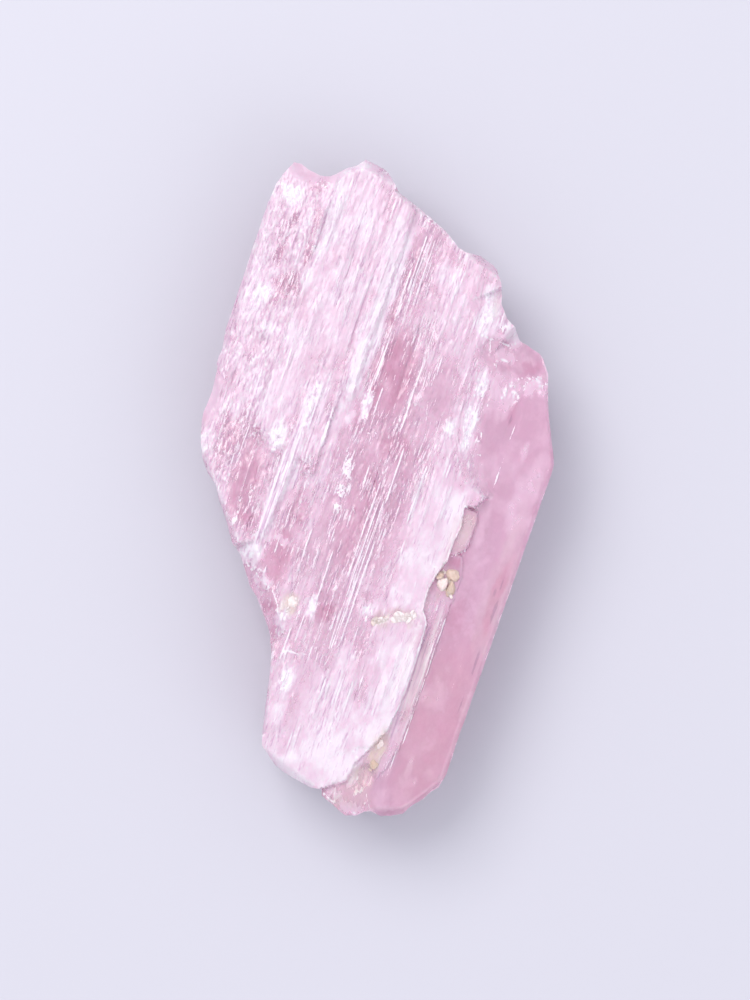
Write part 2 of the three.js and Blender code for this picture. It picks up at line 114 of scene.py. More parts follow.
# Growth steps: top, the x where it has that height, fall for each mm to the right, width of the
# step's edge, how much softer the edge is where it crosses the striations, outline.
BANKS = [
    (GLASSY_TOP, 11, 0.07, 0.5, 1, [(7, 14.9), (18, 14.9), (18, -31), (7, -31)]),
    (PLATE_TOP, 6, 0.19, 0.6, 1, [
        (5, 31), (12.5, 31), (14.5, 12), (12.5, 3.6), (9.4, 3.2), (5, 3.2),
    ]),
    (RECESS_TOP, 10.4, 0.2, 0.14, 1, [
        (9, 1.6), (11.5, 1.3), (11.7, 0), (11.65, -1.6), (11.4, -2.5), (10.9, -3.1),
        (10.2, -3.3), (9, -3.3),
    ]),
    (TERRACE_TOP, 10.4, 0.12, 0.2, 1, [
        (9, -3), (11.5, -3), (11.9, -4), (12, -5.2), (11.9, -8), (11.9, -14),
        (11.8, -19), (11.6, -22.5), (11.2, -24.2), (10.4, -26), (7, -26),
    ]),
    (ETCHED_TOP, -11.2, -0.12, 0.4, 1, [
        (-18, 31), (-10.2, 31), (-10.2, 9), (-8.6, 1), (-8.6, -9.6), (-18, -9.6),
    ]),
    (PLATE_TOP, 0, 0, 0.14, 1, UPPER_PLATE),
    (BANK_TOP, -8, -0.03, 0.24, 8, [(-11.2, 31), (-4.4, 31), (-4.4, 0), (-11.2, 2)]),
    (CREST_TOP, -4, 0, 0.6, 8, [(-5.1, 31), (-3.3, 31), (-3.3, 8), (-4.6, 8)]),
    (CREST_TOP, -7, 0, 0.5, 8, [(-7.5, 9), (-6.1, 9), (-6.3, 0), (-6.9, -8.5), (-8, -8.5)]),
    (BANK_TOP, 5, 0.02, 1.4, 3, [
        (2.4, 31), (4.8, 31), (5.2, 12.4), (6, 8), (8, 3.8), (8.6, -4), (6, -4),
        (5.8, 9), (2.4, 9),
    ]),
    (COMB_TOP, 2.4, 0, 0.3, 8, [(1.7, 8), (3.3, 8), (3.3, -16), (1.7, -16)]),
    (BANK_TOP, 6, 0.02, 0.2, 3, [
        (5.8, -11.5), (7, -10.6), (8.8, -9.7), (10.3, -10.4), (10.45, -13), (10.4, -18),
        (10.05, -20.9), (9.1, -22.8), (5.2, -25), (4.6, -17),
    ]),
]
SLOPE_ABOVE = 2.4  # above this y, and on the left, the plate's step turns into a long slope
SLOPE_WIDTH = 2.0

# Ribs along Y: place across, upper end, lower end, width, height of the ridge.
RIBS = [
    (-15.6, 23.5, 12, 0.9, 9.8), (-14.3, 25, 15.5, 0.8, 9.95), (-13.4, 14.5, 8, 0.9, 10.05),
    (-12.4, 24, 11, 0.8, 10.2), (-15.3, 9.5, 0.5, 0.8, 9.8), (-13.9, 6.5, -2.2, 0.9, 10),
    (-12.1, 7, -4, 0.8, 10.25), (-10.4, 27, 19.5, 1.2, 11.05), (-9.2, 18.5, 8.5, 0.9, 10.95),
    (-8.2, 28, 14, 0.9, 11), (-6.6, 26.5, 11.5, 1.1, 11.05), (-5.6, 10.5, 1, 0.8, 11),
    (-10.3, 1, -6.4, 0.9, 10.6), (-8.6, 0, -6, 0.7, 10.65), (-5.5, -3.5, -11, 0.8, 10.65),
    (-4.4, 24.5, 12.5, 0.8, 11.2), (-3.8, 5, -6.5, 0.7, 10.65), (-2.8, -4, -12, 0.8, 10.7),
    (-1.6, 25, 16, 0.6, 10.7), (-1.5, 14.5, 5.8, 0.8, 10.7), (-0.6, 24.4, 17, 0.5, 10.65),
    (-1.5, -5.6, -10, 0.7, 10.7), (-0.2, -4.6, -13, 0.8, 10.7), (0.6, 4, -3, 0.8, 10.65),
    (1.2, -7, -18.5, 0.8, 10.65), (2.6, 23.6, 10.5, 0.9, 11), (3.7, 22.8, 15, 0.7, 10.95),
    (4, -4, -15.5, 0.8, 10.7), (5, 21.5, 13.5, 0.9, 10.85), (5.4, 4.6, -2.5, 0.7, 10.9),
    (6.2, 16, 7.5, 0.9, 10.6), (6.6, 5, -3.5, 0.9, 10.95), (7.9, 4.6, -4, 0.8, 10.9),
    (5.4, -12.5, -22, 0.9, 10.95), (7, -11.8, -22.6, 1, 11), (8.6, -10.8, -22, 0.9, 11),
    (9.5, -11, -20, 0.8, 10.95), (3, -17.5, -24, 0.8, 10.7), (0.6, -19, -24, 0.8, 10.65),
    (11.5, -8, -21, 0.5, 9.85),
]

# Grooves along Y: place across, upper end, lower end, width, height of the floor.
GROOVES = [
    (-11.2, 25.5, 16.5, 0.8, 10.15), (-9.7, 15.5, 3, 0.9, 10.6), (-7.4, 24, 13, 0.7, 10.65),
    (-5.1, 22, 9, 0.6, 10.7), (-2.3, 23, 7, 1.1, 10.3), (0.7, 20.5, 7, 1.4, 10.3),
    (-9.4, -0.5, -7, 0.7, 10.35), (-5, 0.5, -8, 1, 10.3), (-1, 2.6, -4, 0.8, 10.3),
    (1.3, 5.5, -6, 0.5, 10.35), (4.5, 11, -3, 0.9, 10.5), (3.6, -17, -21.5, 0.6, 10.35),
    (6.1, -13, -22, 0.5, 10.65), (7.8, -13, -22.5, 0.5, 10.65), (-0.4, -14.5, -22, 0.9, 10.3),
    (-13, 22.5, 12.5, 0.7, 9.8), (-14.6, 9, 1, 0.7, 9.6),
]

# Grooves in the back face: place across, upper end, lower end, width, depth.
BACK_GROOVES = [
    (-10.4, 20, 1, 0.9, 0.35), (-7.6, 22, -4, 0.8, 0.3), (-4.7, 16.5, -10, 1.1, 0.4),
    (-2.6, 12, -16, 0.6, 0.25), (-0.9, 16, -21, 0.8, 0.3), (1.6, 4, -20, 0.7, 0.3),
    (3.1, 14, -22, 1.2, 0.4), (5.6, 16, -6, 0.7, 0.3), (7.4, 10, -22, 0.8, 0.3),
]

# Growth steps on the back: depth, outline.
BACK_STEPS = [
    (0.75, [(9.4, 11), (18, 11), (18, -27), (8.6, -27), (9, -8)]),
    (1.3, [(12.9, 9), (18, 9), (18, -29), (12.3, -29)]),
    (0.9, [(-18, 27), (-12.9, 27), (-12.4, 3), (-13.6, -7), (-18, -7)]),
    (0.6, [(-3.6, 31), (7, 31), (6.6, 16.5), (-3.2, 18.4)]),
]

# Facets of the upper rim: ends of the line it runs through, height there, slope in degrees up
# into the blade, how far past the ends it reaches.
TOP_FACETS = [
    ((16.95, 8), (16.78, -24), 8.7, 48, 0.6), ((13.9, 15), (16.9, 8), 8.7, 58, 0.4),
    ((9.8, 18.3), (13.8, 16.2), 8, 30, 0.6), ((6.9, 21.6), (9.9, 18.2), 9.6, 24, 0.4),
    ((-5.2, 27.5), (6.6, 22.9), 10.2, 62, 0.5), ((-11, 29.2), (-5, 28.2), 10.2, 60, 0.3),
    ((-12.6, 26.6), (-9.6, 29.2), 9.6, 62, 0.2), ((-16.1, 1), (-16.95, 23), 8.9, 57, 1),
    ((-9.4, -9.1), (-16, -0.4), 9.3, 62, 1.4), ((-3.7, -15.8), (-8.6, -9.9), 8.4, 52, 0.8),
    ((-1.2, -24.6), (-3.4, -15.8), 9.4, 68, 0.4), ((6.1, -28.5), (-1, -26.2), 9.8, 60, 1),
    ((7.2, -28.9), (-1.6, -26.9), 10, 8, 2), ((10.4, -29.4), (7.2, -29.4), 9, 25, 0.1),
    ((14.4, -27.7), (11, -29.2), 8.7, 52, 0.4), ((16.9, -23.6), (14.2, -27.9), 8.7, 52, 0.4),
]

# Facets of the lower rim: the same, falling into the blade.
BACK_FACETS = [
    ((16.95, 8.4), (16.78, -24), 5.6, 66, 0.8), ((6.6, 22.4), (17, 8), 5.2, 47, 1),
    ((-11, 29.6), (6.8, 23), 6, 55, 1), ((-17.4, 25.6), (-10.6, 28.6), 4.6, 50, 0.5),
    ((-15.9, -1), (-17, 25), 4.2, 63, 1), ((-8.6, -9.8), (-15.9, -0.6), 4.4, 55, 0.6),
    ((-1, -25.6), (-3.2, -16.2), 3, 66, 0.8), ((-3.2, -16.2), (-8.7, -9.9), 3, 66, 0.8),
    ((9.4, -30), (-1.4, -26), 3, 42, 1), ((17.2, -23.4), (9.6, -30.2), 4.6, 47, 1),
]

# Shell-shaped break scars: centre, radius.
SCOOPS = [
    ((-14.4, 28.6, 13), 4.45),
    ((11, 16.4, 12.5), 3.6),
    ((8, 16.3, 11.6), 2),
    ((-18.2, 3.4, 11.4), 3.4),
    ((9.5, -25.6, 10.7), 1.4),
]
TAPER = 3.2  # length over which a rib or groove fades out at each end
RIB_ROOT = 0.5  # how far a rib's sides reach below its ridge
RIB_SLOPE = 0.5  # how steep the sides of a rib 1 mm wide are
GROOVE_SLOPE = 0.8
RIB_ROUND = 0.12  # width of the rounded foot of a rib or lip of a groove
EDGE_ROUND = 0.12  # width over which a strip turns into the next
FACET_ROUND = 0.3  # width of the rounded crease where a facet meets the face above it
FACET_STRIATION = 0.45  # share of the striations that carries on over a facet
BEYOND_SLOPE = 4.0  # how steeply a facet's plane turns away past its ends
STEP_RISE = 0.09  # height of the small growth steps on the striated plate

# Where the striated plate and the etched flank turn white or stay clear, painted one over the
# other: place, half width, half length, whiteness.
VEILS = [
    (0, 2, 3.4, 11, 0.22), (-8, 20, 4, 9, 0.62), (-9.5, 26.5, 2.2, 2.6, 0.72),
    (-10.6, 23, 0.8, 4.6, 0.95), (-4.3, 22.5, 1, 3.8, 0.85), (-3.7, 19, 0.8, 2.6, 0.9),
    (-3.7, 12.5, 0.7, 6.6, 1), (-7.6, 15, 2.2, 5, 0.68), (-1.4, 20.5, 1.7, 5.2, 0.22),
    (-0.3, 11, 2.1, 4.2, 0.04), (2.1, 18.5, 0.5, 4.6, 0.6), (2.1, 9, 0.9, 7, 0.16),
    (4, 18.5, 1.3, 4.6, 0.5), (4.4, 9.6, 1.5, 4.6, 0.2), (6.3, 19.4, 0.9, 2.4, 0.9),
    (5.9, 15.2, 0.5, 1.8, 0.7), (8.8, 18.6, 1.6, 1.3, 0.85), (7.8, 18.4, 0.4, 0.6, 0.3),
    (-6.3, 7, 1, 2.2, 0.75), (-2.4, 7.4, 0.9, 1.6, 0.5), (-6.2, -0.6, 0.6, 1.4, 0.85),
    (6.2, -15.6, 0.9, 1.2, 0.7), (7.9, 12.9, 0.6, 1.3, 0.95), (7.9, 9.6, 0.8, 2, 0.95),
    (6.4, 7.7, 0.6, 1.6, 0.8), (8.2, 7.2, 0.6, 1, 0.95), (3.6, -1, 1.4, 6, 0.1),
    (-1.6, 4.6, 1.6, 3, 0.1), (0.4, 0, 1.6, 5, 0.14), (7.4, 0.5, 1.7, 4.8, 0.72),
    (8.2, -4.6, 2.1, 5.4, 0.82), (9.4, 0.8, 0.9, 2.4, 0.95), (9.6, -1.5, 0.6, 3, 0.9),
    (7.2, -8, 1.2, 1.8, 0.8), (7.4, -12, 2, 1.4, 0.55), (8.2, -18.5, 2.1, 6.6, 0.84),
    (9.6, -17, 0.7, 5.6, 0.97), (7, -16.6, 0.7, 1.2, 0.5), (3.6, -21, 2.4, 3.2, 0.7),
    (4.4, -17, 1.2, 2, 0.6), (4.2, -25.8, 4.8, 3, 0.92), (6.6, -24.4, 1.6, 3, 1),
    (8.9, -22, 0.7, 1.5, 0.98), (-0.8, -21.5, 0.7, 3, 0.7), (1.4, -25, 1.2, 1.2, 0.62),
    (-2.4, 1, 0.9, 3, 0.3), (-4.2, 2.4, 0.9, 4, 0.55), (-6.6, 4.6, 0.75, 3.6, 0.9),
    (-7.2, -3, 0.6, 4.8, 0.86), (-10.3, 8, 2.4, 6, 0.72), (-10.2, 11.3, 1.2, 1.4, 0.85),
    (-10.6, 5.4, 1.4, 1.6, 0.85), (-10.3, -3, 1.5, 4.4, 0.14), (-8.4, -6.6, 0.8, 1.2, 0.15),
    (-5.2, -9, 1.3, 3.2, 0.12), (-2.4, -8, 1.2, 2.6, 0.26), (0.2, -7, 1.4, 4, 0.16),
    (1.2, -14, 1.4, 2.4, 0.28), (-6.4, -11.6, 2.6, 2, 0.32), (-14.9, 24.1, 1, 1, 0.9),
    (-14.6, 20.6, 1.2, 1.6, 0.36), (-11.9, 21.5, 0.7, 2.8, 0.36), (-13.4, 15.2, 0.8, 2.6, 0.3),
    (-15.1, 13.4, 0.8, 1.9, 0.9), (-12.9, 1, 1.6, 3.2, 0.26), (-15.2, -0.8, 0.5, 1.2, 0.9),
    (-7.7, -9.2, 1.1, 1, 0.9), (-14.4, 26.4, 2.6, 1.4, 0.66), (-1.7, 7.6, 0.45, 1.5, 0.95),
    (-2.6, -12.8, 0.9, 1.3, 0.8), (-3.1, 17, 0.5, 8.5, 0.9), (-8.2, 22.6, 2.4, 2.6, 0.74),
    (2.6, 14, 0.5, 1.6, 0.5), (-7, -9.6, 0.7, 0.8, 0.9), (9.3, -10.2, 0.7, 2.6, 0.85),
    (4.3, -22.8, 0.8, 1.3, 0.97), (2.3, -3, 1.2, 3, 0.02), (1.5, -11.2, 1, 1.6, 0.12),
    (-9.6, 7.4, 1.2, 1.2, 0.6), (6.5, -18.4, 0.7, 1.2, 0.35), (-5.6, -10.9, 1, 0.35, 0.85),
    (-3.1, -14.1, 0.45, 1, 0.85), (-2.5, -15.6, 0.3, 1.2, 0.8), (-6.6, -1.6, 0.5, 1.6, 0.9),
    (-0.4, -11.8, 0.55, 1.3, 0.95), (-0.4, -19.5, 0.65, 1.1, 0.97), (2.4, 20.2, 0.9, 1.8, 0.68),
    (-4, 7.6, 0.8, 1.2, 0.85), (-8.6, 4.5, 0.7, 0.9, 0.8), (-15.8, 13, 0.6, 1.3, 0.85),
    (7, 7, 0.6, 0.9, 0.8), (6.4, -4.8, 0.6, 1.3, 0.95), (-3, -3, 0.6, 2.4, 0.55),
    (-4.4, 14.2, 0.6, 1.4, 0.8), (-2, 15.8, 0.4, 1.6, 0.1), (-0.8, -13.2, 0.7, 0.7, 0.2),
    (7, -23, 0.6, 1.4, 0.75), (2.2, -24, 0.8, 1.2, 0.55), (4.6, -27, 2.4, 0.8, 0.8),
    (-14, 22, 0.3, 1.1, 0.18), (-14.1, 18.6, 0.45, 1.1, 0.2), (-12.5, 15.8, 0.8, 1.6, 0.2),
    (-11.6, 19.2, 0.3, 1.1, 0.12), (4.6, -10.4, 0.9, 0.7, 0.85), (0.9, -12.2, 0.8, 1, 0.05),
    (-11, 1.2, 0.9, 1.6, 0.15), (-12.6, 22.2, 0.5, 1.1, 0.85), (-14.3, 14.6, 0.8, 0.9, 0.95),
    (-8.8, 2.1, 0.9, 1.6, 0.97), (-12.8, 17.4, 1.2, 0.5, 0.7), (-11, 16.6, 0.5, 1.4, 0.9),
    (-15.6, 16.6, 0.8, 1.6, 0.8), (-14.9, 7.6, 0.6, 1.2, 0.8), (-13.3, 3.4, 0.7, 1.3, 0.8),
    (-2.8, 6.2, 0.5, 1, 0.7), (-3.6, 1.5, 0.5, 2.4, 0.7), (-0.4, 8.8, 0.7, 1.6, 0.35),
    (1.2, 21.4, 0.8, 1.6, 0.85), (3.8, 18.4, 0.8, 1.4, 0.8), (4, -15.8, 0.9, 1.2, 0.85),
    (-0.2, -22.4, 0.7, 1.6, 0.85), (2, 4.6, 1.4, 1.2, 0), (4.3, -6.4, 0.8, 2, 0.2),
    (-5.8, 2.6, 0.8, 0.9, 0.6), (-4.8, -4.8, 0.8, 0.9, 0.1), (-9.3, -6, 0.8, 0.9, 0),
    (-2.6, -13.1, 0.55, 0.6, 1), (-13, 25.9, 0.9, 0.6, 0.35), (-5.9, 5.3, 0.7, 1.2, 0.9),
    (-14, 16.7, 0.7, 0.7, 0.9), (-12.9, 11, 1, 0.5, 0.95), (-2.4, -17, 0.5, 0.9, 0.25),
    (-5.4, -7.3, 1.6, 0.25, 0.6), (4.4, 5.2, 0.7, 1.2, 0.1), (-4.6, -13.4, 1, 0.8, 0.15),
    (-9.8, 28.6, 1.2, 0.8, 0.95), (5.6, 21.4, 0.6, 0.9, 0.9), (-7.4, 17.5, 0.6, 1, 0.85),
]

# The same for the glassy side.
CLOUDS = [
    (10.7, 13.4, 1.2, 1.6, 0.5), (12.7, 14.7, 1.3, 0.7, 0.5), (9.4, 12.2, 0.8, 2, 0.4),
    (11.4, 12.2, 0.4, 0.8, 0.5), (15.4, 4.6, 0.8, 3.6, 0.3), (10.2, 4.6, 0.9, 1.2, 0.3),
    (12.4, 10.4, 0.25, 1.2, 0.2), (7.2, -28, 1, 0.7, 0.4), (9, -28.5, 1.3, 0.8, 0.52),
    (11.4, 16.8, 1, 0.4, 0.3), (12, 1.8, 0.5, 1, 0.24), (9.2, 16, 1.2, 0.8, 0.5),
    (10.6, 11, 0.7, 1.2, 0.3), (11.3, 2.2, 0.4, 0.9, 0.4), (9.2, -26.4, 1.4, 1.2, 0.2),
    (8.8, 18.6, 1.5, 1, 0.85), (13.9, 8.2, 0.3, 1, 0.4), (15.4, 2, 0.8, 4.4, 0.32),
    (12.6, -8.6, 1.2, 2.2, 0), (13.2, -16.4, 1.6, 1.8, 0.24), (12.6, 7.2, 0.8, 2.4, 0.03),
    (9, 14.2, 0.8, 0.7, 0.5), (9.2, 17.5, 0.8, 0.4, 0.7), (16.3, -12, 0.3, 10, 0.1),
    (12.2, 13.9, 0.6, 0.8, 0.6), (10.6, 11.6, 0.7, 1.2, 0.45), (14.6, 3.6, 0.7, 3, 0.34),
    (15.6, 6, 0.5, 1, 0.45), (12.2, -0.4, 0.5, 1.6, 0.3), (11.4, -15.6, 0.5, 2.4, 0.55),
    (11.6, -27.5, 1, 0.7, 0.3), (13.3, -24.6, 0.7, 0.9, 0.3), (10.9, -0.8, 0.6, 2, 0.5),
    (13.1, -23.5, 0.35, 0.7, 0.46), (14.2, -24.6, 0.35, 0.45, 0.42), (8.4, -25.4, 0.5, 1.4, 0.75),
    (7.4, -27.8, 1, 0.4, 0.7),
]

# Crumbled white chips, rough to the touch: place, half width, half length, strength.
CHIPS = [
    (-14.9, 24.2, 1.2, 1.2, 1), (-15, 13.6, 0.6, 1.3, 0.7), (-13.3, 11.3, 0.4, 0.6, 0.8),
    (6.3, 19.4, 0.9, 2.2, 0.8), (7.8, 12.9, 0.6, 1.2, 1), (7.9, 9.8, 0.8, 1.7, 1),
    (8.1, 7.3, 0.6, 1, 1), (6.4, 8, 0.5, 1, 0.9), (9.2, 8.2, 0.25, 0.7, 0.8),
    (-1.7, 7.6, 0.5, 1.5, 1), (-1.4, 1.5, 0.5, 1.1, 1), (-1.3, -0.5, 0.6, 0.7, 1),
    (-1.2, -2.4, 0.4, 0.6, 0.9), (-1.8, 2.6, 0.4, 0.4, 0.8), (0.5, -2.4, 0.3, 0.25, 0.9),
    (-0.4, -11.8, 0.6, 1.2, 1), (-0.4, -19.5, 0.7, 1.1, 1), (-7.7, -9.2, 1.1, 0.9, 1),
    (-8.8, 2.1, 0.9, 1.6, 1), (-9.4, -3.8, 0.35, 0.9, 0.7), (-10.2, -4.7, 0.3, 0.4, 0.8),
    (-10.1, -6.7, 0.25, 0.6, 0.9), (-12.2, -3.3, 0.25, 0.4, 0.8), (-15.1, -1.4, 0.5, 0.7, 0.8),
    (10.5, 13.3, 0.9, 1.2, 0.85), (12.8, 14.6, 1.3, 0.6, 0.9), (11.4, 12.6, 0.4, 0.8, 0.8),
    (7.5, 16.2, 0.8, 0.3, 0.6), (8.6, 18.6, 1, 0.6, 0.8), (9.2, 11.6, 0.4, 1, 0.6),
    (8.6, 15, 0.5, 0.5, 0.7), (11.5, 14, 0.8, 0.5, 0.7), (6.6, 17.3, 0.9, 0.25, 0.8),
    (9.4, 17.4, 0.6, 0.25, 0.7), (6.8, -28, 0.9, 0.8, 0.5), (9.2, -26.4, 0.6, 0.9, 0.5),
    (8.2, -24, 0.4, 0.4, 0.8), (-16.3, 8.2, 0.3, 0.8, 0.7), (-2.4, -13.6, 0.5, 0.5, 0.8),
    (4.7, -10.6, 0.9, 0.5, 0.9), (-6.2, -10.5, 0.9, 0.3, 0.9), (-4.8, -11.6, 0.7, 0.3, 0.8),
    (-3.2, -13.8, 0.45, 0.8, 0.9), (-2.6, -15.4, 0.3, 0.9, 0.8), (-16, 25.2, 0.6, 0.5, 0.7),
    (-12.2, 26, 0.8, 0.7, 0.7), (9.4, -29, 0.6, 0.3, 0.7), (10.3, -28.2, 0.4, 0.5, 0.6),
    (-12.6, 22.2, 0.5, 1.1, 0.8), (9.4, -10.6, 0.8, 0.4, 0.6), (8.8, -26.5, 0.2, 0.5, 1),
    (9.3, -27.3, 0.3, 0.3, 1), (8.3, -25.2, 0.3, 0.4, 0.8), (7.5, -28, 0.6, 0.4, 0.7),
    (13.9, 8.4, 0.3, 0.8, 0.5), (16.2, 7.6, 0.5, 0.4, 0.5), (-14.3, 14.6, 0.8, 0.9, 0.9),
    (-12.9, 24.6, 0.5, 0.4, 0.7), (-11.3, 19.8, 0.3, 1, 0.8), (-12.6, 20.4, 0.4, 0.7, 0.7),
    (-13.5, 8, 0.3, 0.8, 0.7), (-15.1, 8, 0.5, 0.6, 0.6), (-10.6, 18.6, 0.4, 1.2, 0.6),
    (-10.5, 22, 0.5, 2, 0.5), (-6.6, 5.8, 0.55, 2.6, 0.8), (-2.6, -13.2, 0.4, 0.4, 0.9),
]

# Fine white lines: place across, upper end, lower end, width, strength.
STREAKS = [
    (-1.6, 25, 19, 0.09, 0.9), (-1.95, 21.5, 15.5, 0.08, 0.9), (-1.3, 24.6, 18, 0.07, 0.8),
    (-0.7, 25, 17, 0.08, 0.8), (-0.35, 23, 19, 0.07, 0.6), (-1.75, 14, 9, 0.12, 0.9),
    (-2, 14.6, 12, 0.07, 0.7), (-0.9, 10.2, 6.4, 0.09, 0.9), (2, 13.5, 5.6, 0.1, 0.9),
    (1.8, 1.5, -8.8, 0.08, 0.9), (2.28, 0.6, -16, 0.07, 0.9), (2.5, -2, -15.8, 0.06, 0.8),
    (2.72, 0, -15.5, 0.07, 0.9), (2.9, 5.2, -1, 0.09, 1), (3.15, -4, -15, 0.08, 0.9),
    (1.9, -11.5, -14, 0.06, 0.7), (5.45, 4.6, -2, 0.11, 0.95), (5.65, 2, -1.8, 0.07, 0.8),
    (-0.3, -6, -12, 0.08, 0.9), (-0.8, -4, -7, 0.08, 0.8), (-1.6, -6.3, -9.5, 0.08, 0.8),
    (-1.4, -7, -10, 0.06, 0.7), (-5.45, -6.2, -9, 0.1, 0.9), (-5.8, -9.5, -11, 0.11, 1),
    (-2.85, -4.5, -8, 0.09, 0.8), (0.35, 2.7, -0.3, 0.09, 0.9), (7.2, 5.8, 3, 0.09, 0.9),
    (7.5, 5.5, 2.8, 0.09, 0.9), (-4.6, 5.5, 2, 0.26, 0.9), (3, -17.6, -20.5, 0.11, 1),
    (3.7, -18.5, -20.2, 0.09, 0.9), (4.25, -16.2, -20.8, 0.08, 0.9), (4.5, -16.4, -21, 0.08, 0.9),
    (5.5, -16.8, -21, 0.08, 0.9), (6.2, -16, -18.5, 0.08, 0.9), (2.1, -22.5, -26, 0.08, 0.9),
    (1.65, -23.5, -26, 0.08, 0.9), (2.8, -23.6, -25.8, 0.07, 0.7), (6.6, -22.2, -24.8, 0.08, 0.7),
    (4.3, -12, -16, 0.08, 0.7), (-0.9, -12.5, -16.4, 0.08, 0.8), (-1.7, -14.4, -18.4, 0.09, 0.8),
    (3.5, 14.6, 11.5, 0.09, 0.7), (6.7, 14, 8.5, 0.09, 0.7), (11.3, -7.6, -15, 0.07, 0.5),
    (11.85, -7.6, -22, 0.08, 0.7), (11.55, -8, -22, 0.07, 0.6), (10.75, -7.2, -9.4, 0.08, 0.6),
    (11.5, -22, -24.6, 0.08, 0.7), (12.1, 11, 2.4, 0.1, 0.2), (-5.4, 27, 24, 0.12, 0.8),
    (-5.9, 10, -3, 0.08, 0.7), (-11.6, 3, -1.5, 0.1, 0.7), (9.1, 8.6, 6.8, 0.1, 0.8),
    (-10.2, 11, 6.5, 0.1, 0.6), (8.2, -18, -20.6, 0.08, 0.8), (-7.5, 2, -8.6, 0.11, 0.9),
    (-7, 1, -8, 0.09, 0.8), (-6.75, 4, -3, 0.09, 0.8), (-6.3, 9, 3, 0.1, 0.8),
    (-7.9, 1, -3.4, 0.07, 0.7), (-9.7, 10, 7.6, 0.07, 0.6), (-8.6, 18.6, 13, 0.07, 0.5),
    (-4.2, 24, 18, 0.08, 0.5), (-12.2, 8, 3, 0.1, 0.6), (-14.1, 7, 4.6, 0.1, 0.7),
    (4.8, 19, 15.2, 0.07, 0.5), (8.3, 3.4, -1, 0.08, 0.6), (6.6, -1, -4, 0.08, 0.6),
    (8, -6, -8, 0.1, 0.6), (9.1, -5.4, -8.4, 0.1, 0.6),
]

# Short cracks at an angle to the striations: ends, width, strength.
CRACKS = [
    ((-1.6, -16.9), (0.4, -16.7), 0.12, 0.9), ((-0.9, 5), (0.1, 5.4), 0.08, 0.7),
    ((6.3, -4.4), (7.4, -3.3), 0.07, 0.6), ((7.4, -3.3), (8.7, -3), 0.06, 0.5),
    ((8.3, -4.4), (9.3, -4.9), 0.07, 0.6), ((4.1, -23.8), (5.7, -23.5), 0.06, 0.6),
    ((5.2, -24.4), (6.3, -25.6), 0.06, 0.5), ((-7.6, -7.7), (-5.4, -7.4), 0.09, 0.7),
    ((-5.2, -7.5), (-3, -7.3), 0.09, 0.6), ((-6.2, -4.9), (-5.4, -6.6), 0.07, 0.6),
    ((6.2, 17.3), (7.6, 17.1), 0.1, 0.8), ((11, 14.6), (13, 15.5), 0.1, 0.8),
    ((-8.3, -9.9), (-4.2, -12.2), 0.09, 0.9), ((-4.2, -12.2), (-2.6, -14.8), 0.09, 0.9),
    ((-13.2, -3.8), (-10, -7.6), 0.07, 0.6), ((10.4, -3.2), (11, -3.1), 0.07, 0.8),
    ((11, -3.1), (11.6, -2.4), 0.07, 0.9), ((9.2, 6.3), (10, 6.5), 0.07, 0.6),
    ((3.2, -26.9), (4, -26.4), 0.07, 0.6), ((2.9, -27.4), (3.6, -27.2), 0.07, 0.6),
    ((8, -24.2), (8.4, -24), 0.1, 0.9), ((7.1, -27.6), (7.6, -28.9), 0.1, 0.8),
    ((6.3, -28.5), (7.4, -28.9), 0.12, 0.9), ((10.2, -27.2), (10.9, -28.4), 0.08, 0.6),
    ((6, 17), (6.3, 15.9), 0.1, 0.7), ((7.3, 17.2), (7.45, 16.1), 0.09, 0.9),
    ((7.45, 16.1), (8.2, 16), 0.1, 0.9), ((8.4, 15.85), (9.4, 15.75), 0.1, 0.8),
    ((9.4, 15.75), (10.6, 16.4), 0.07, 0.7), ((8.2, 17.35), (9.1, 17.3), 0.1, 0.8),
    ((9.1, 17.3), (9.9, 17.8), 0.1, 0.9),
]

# Fine dark lines and flecks: place across, upper end, lower end, width, strength.
# Some are painted shade beside steps and white lines, the others dark lines in the crystal.
DARK_STREAKS = [
    (15.8, -3.2, -5.4, 0.16, 0.8), (15.4, -4.2, -6.2, 0.2, 0.6), (16, -5.6, -8.4, 0.18, 1),
    (15.9, -10.4, -14, 0.16, 0.8), (15.9, -14.5, -18, 0.1, 0.6), (11.5, 11.6, 9.6, 0.28, 0.4),
    (10.6, -10, -22, 0.1, 0.8), (11.45, -21.5, -24.4, 0.12, 0.9), (11.02, -8, -20, 0.06, 0.6),
    (11.95, -8, -22, 0.06, 0.7), (11.4, -8, -14, 0.06, 0.5), (-11.2, 25, 17, 0.08, 0.5),
    (2, 1, -14, 0.07, 0.6), (2.38, 0, -15, 0.06, 0.5), (2.95, 3, -14, 0.07, 0.6),
    (-7.15, 8, -8.6, 0.09, 0.8), (-6.7, 4, -6, 0.07, 0.6), (-7.7, 0, -5.5, 0.07, 0.6),
    (-5.2, 20, 12, 0.07, 0.6), (-8.6, 20.5, 17.5, 0.07, 0.6), (-6.2, 18, 14, 0.06, 0.5),
    (-4.75, 12, 8, 0.08, 0.7), (5, -17.5, -20.5, 0.06, 0.6), (4.1, -16.5, -20.5, 0.06, 0.6),
    (10.25, -16, -20.6, 0.1, 0.5), (8.35, 13.4, 11.6, 0.14, 0.8), (-2.45, 21, 16, 0.07, 0.6),
    (-0.95, 23, 17, 0.06, 0.6), (-1.3, 22, 14, 0.06, 0.6), (1.75, 9, 2, 0.07, 0.6),
    (-0.6, -7, -11, 0.08, 0.7),
]
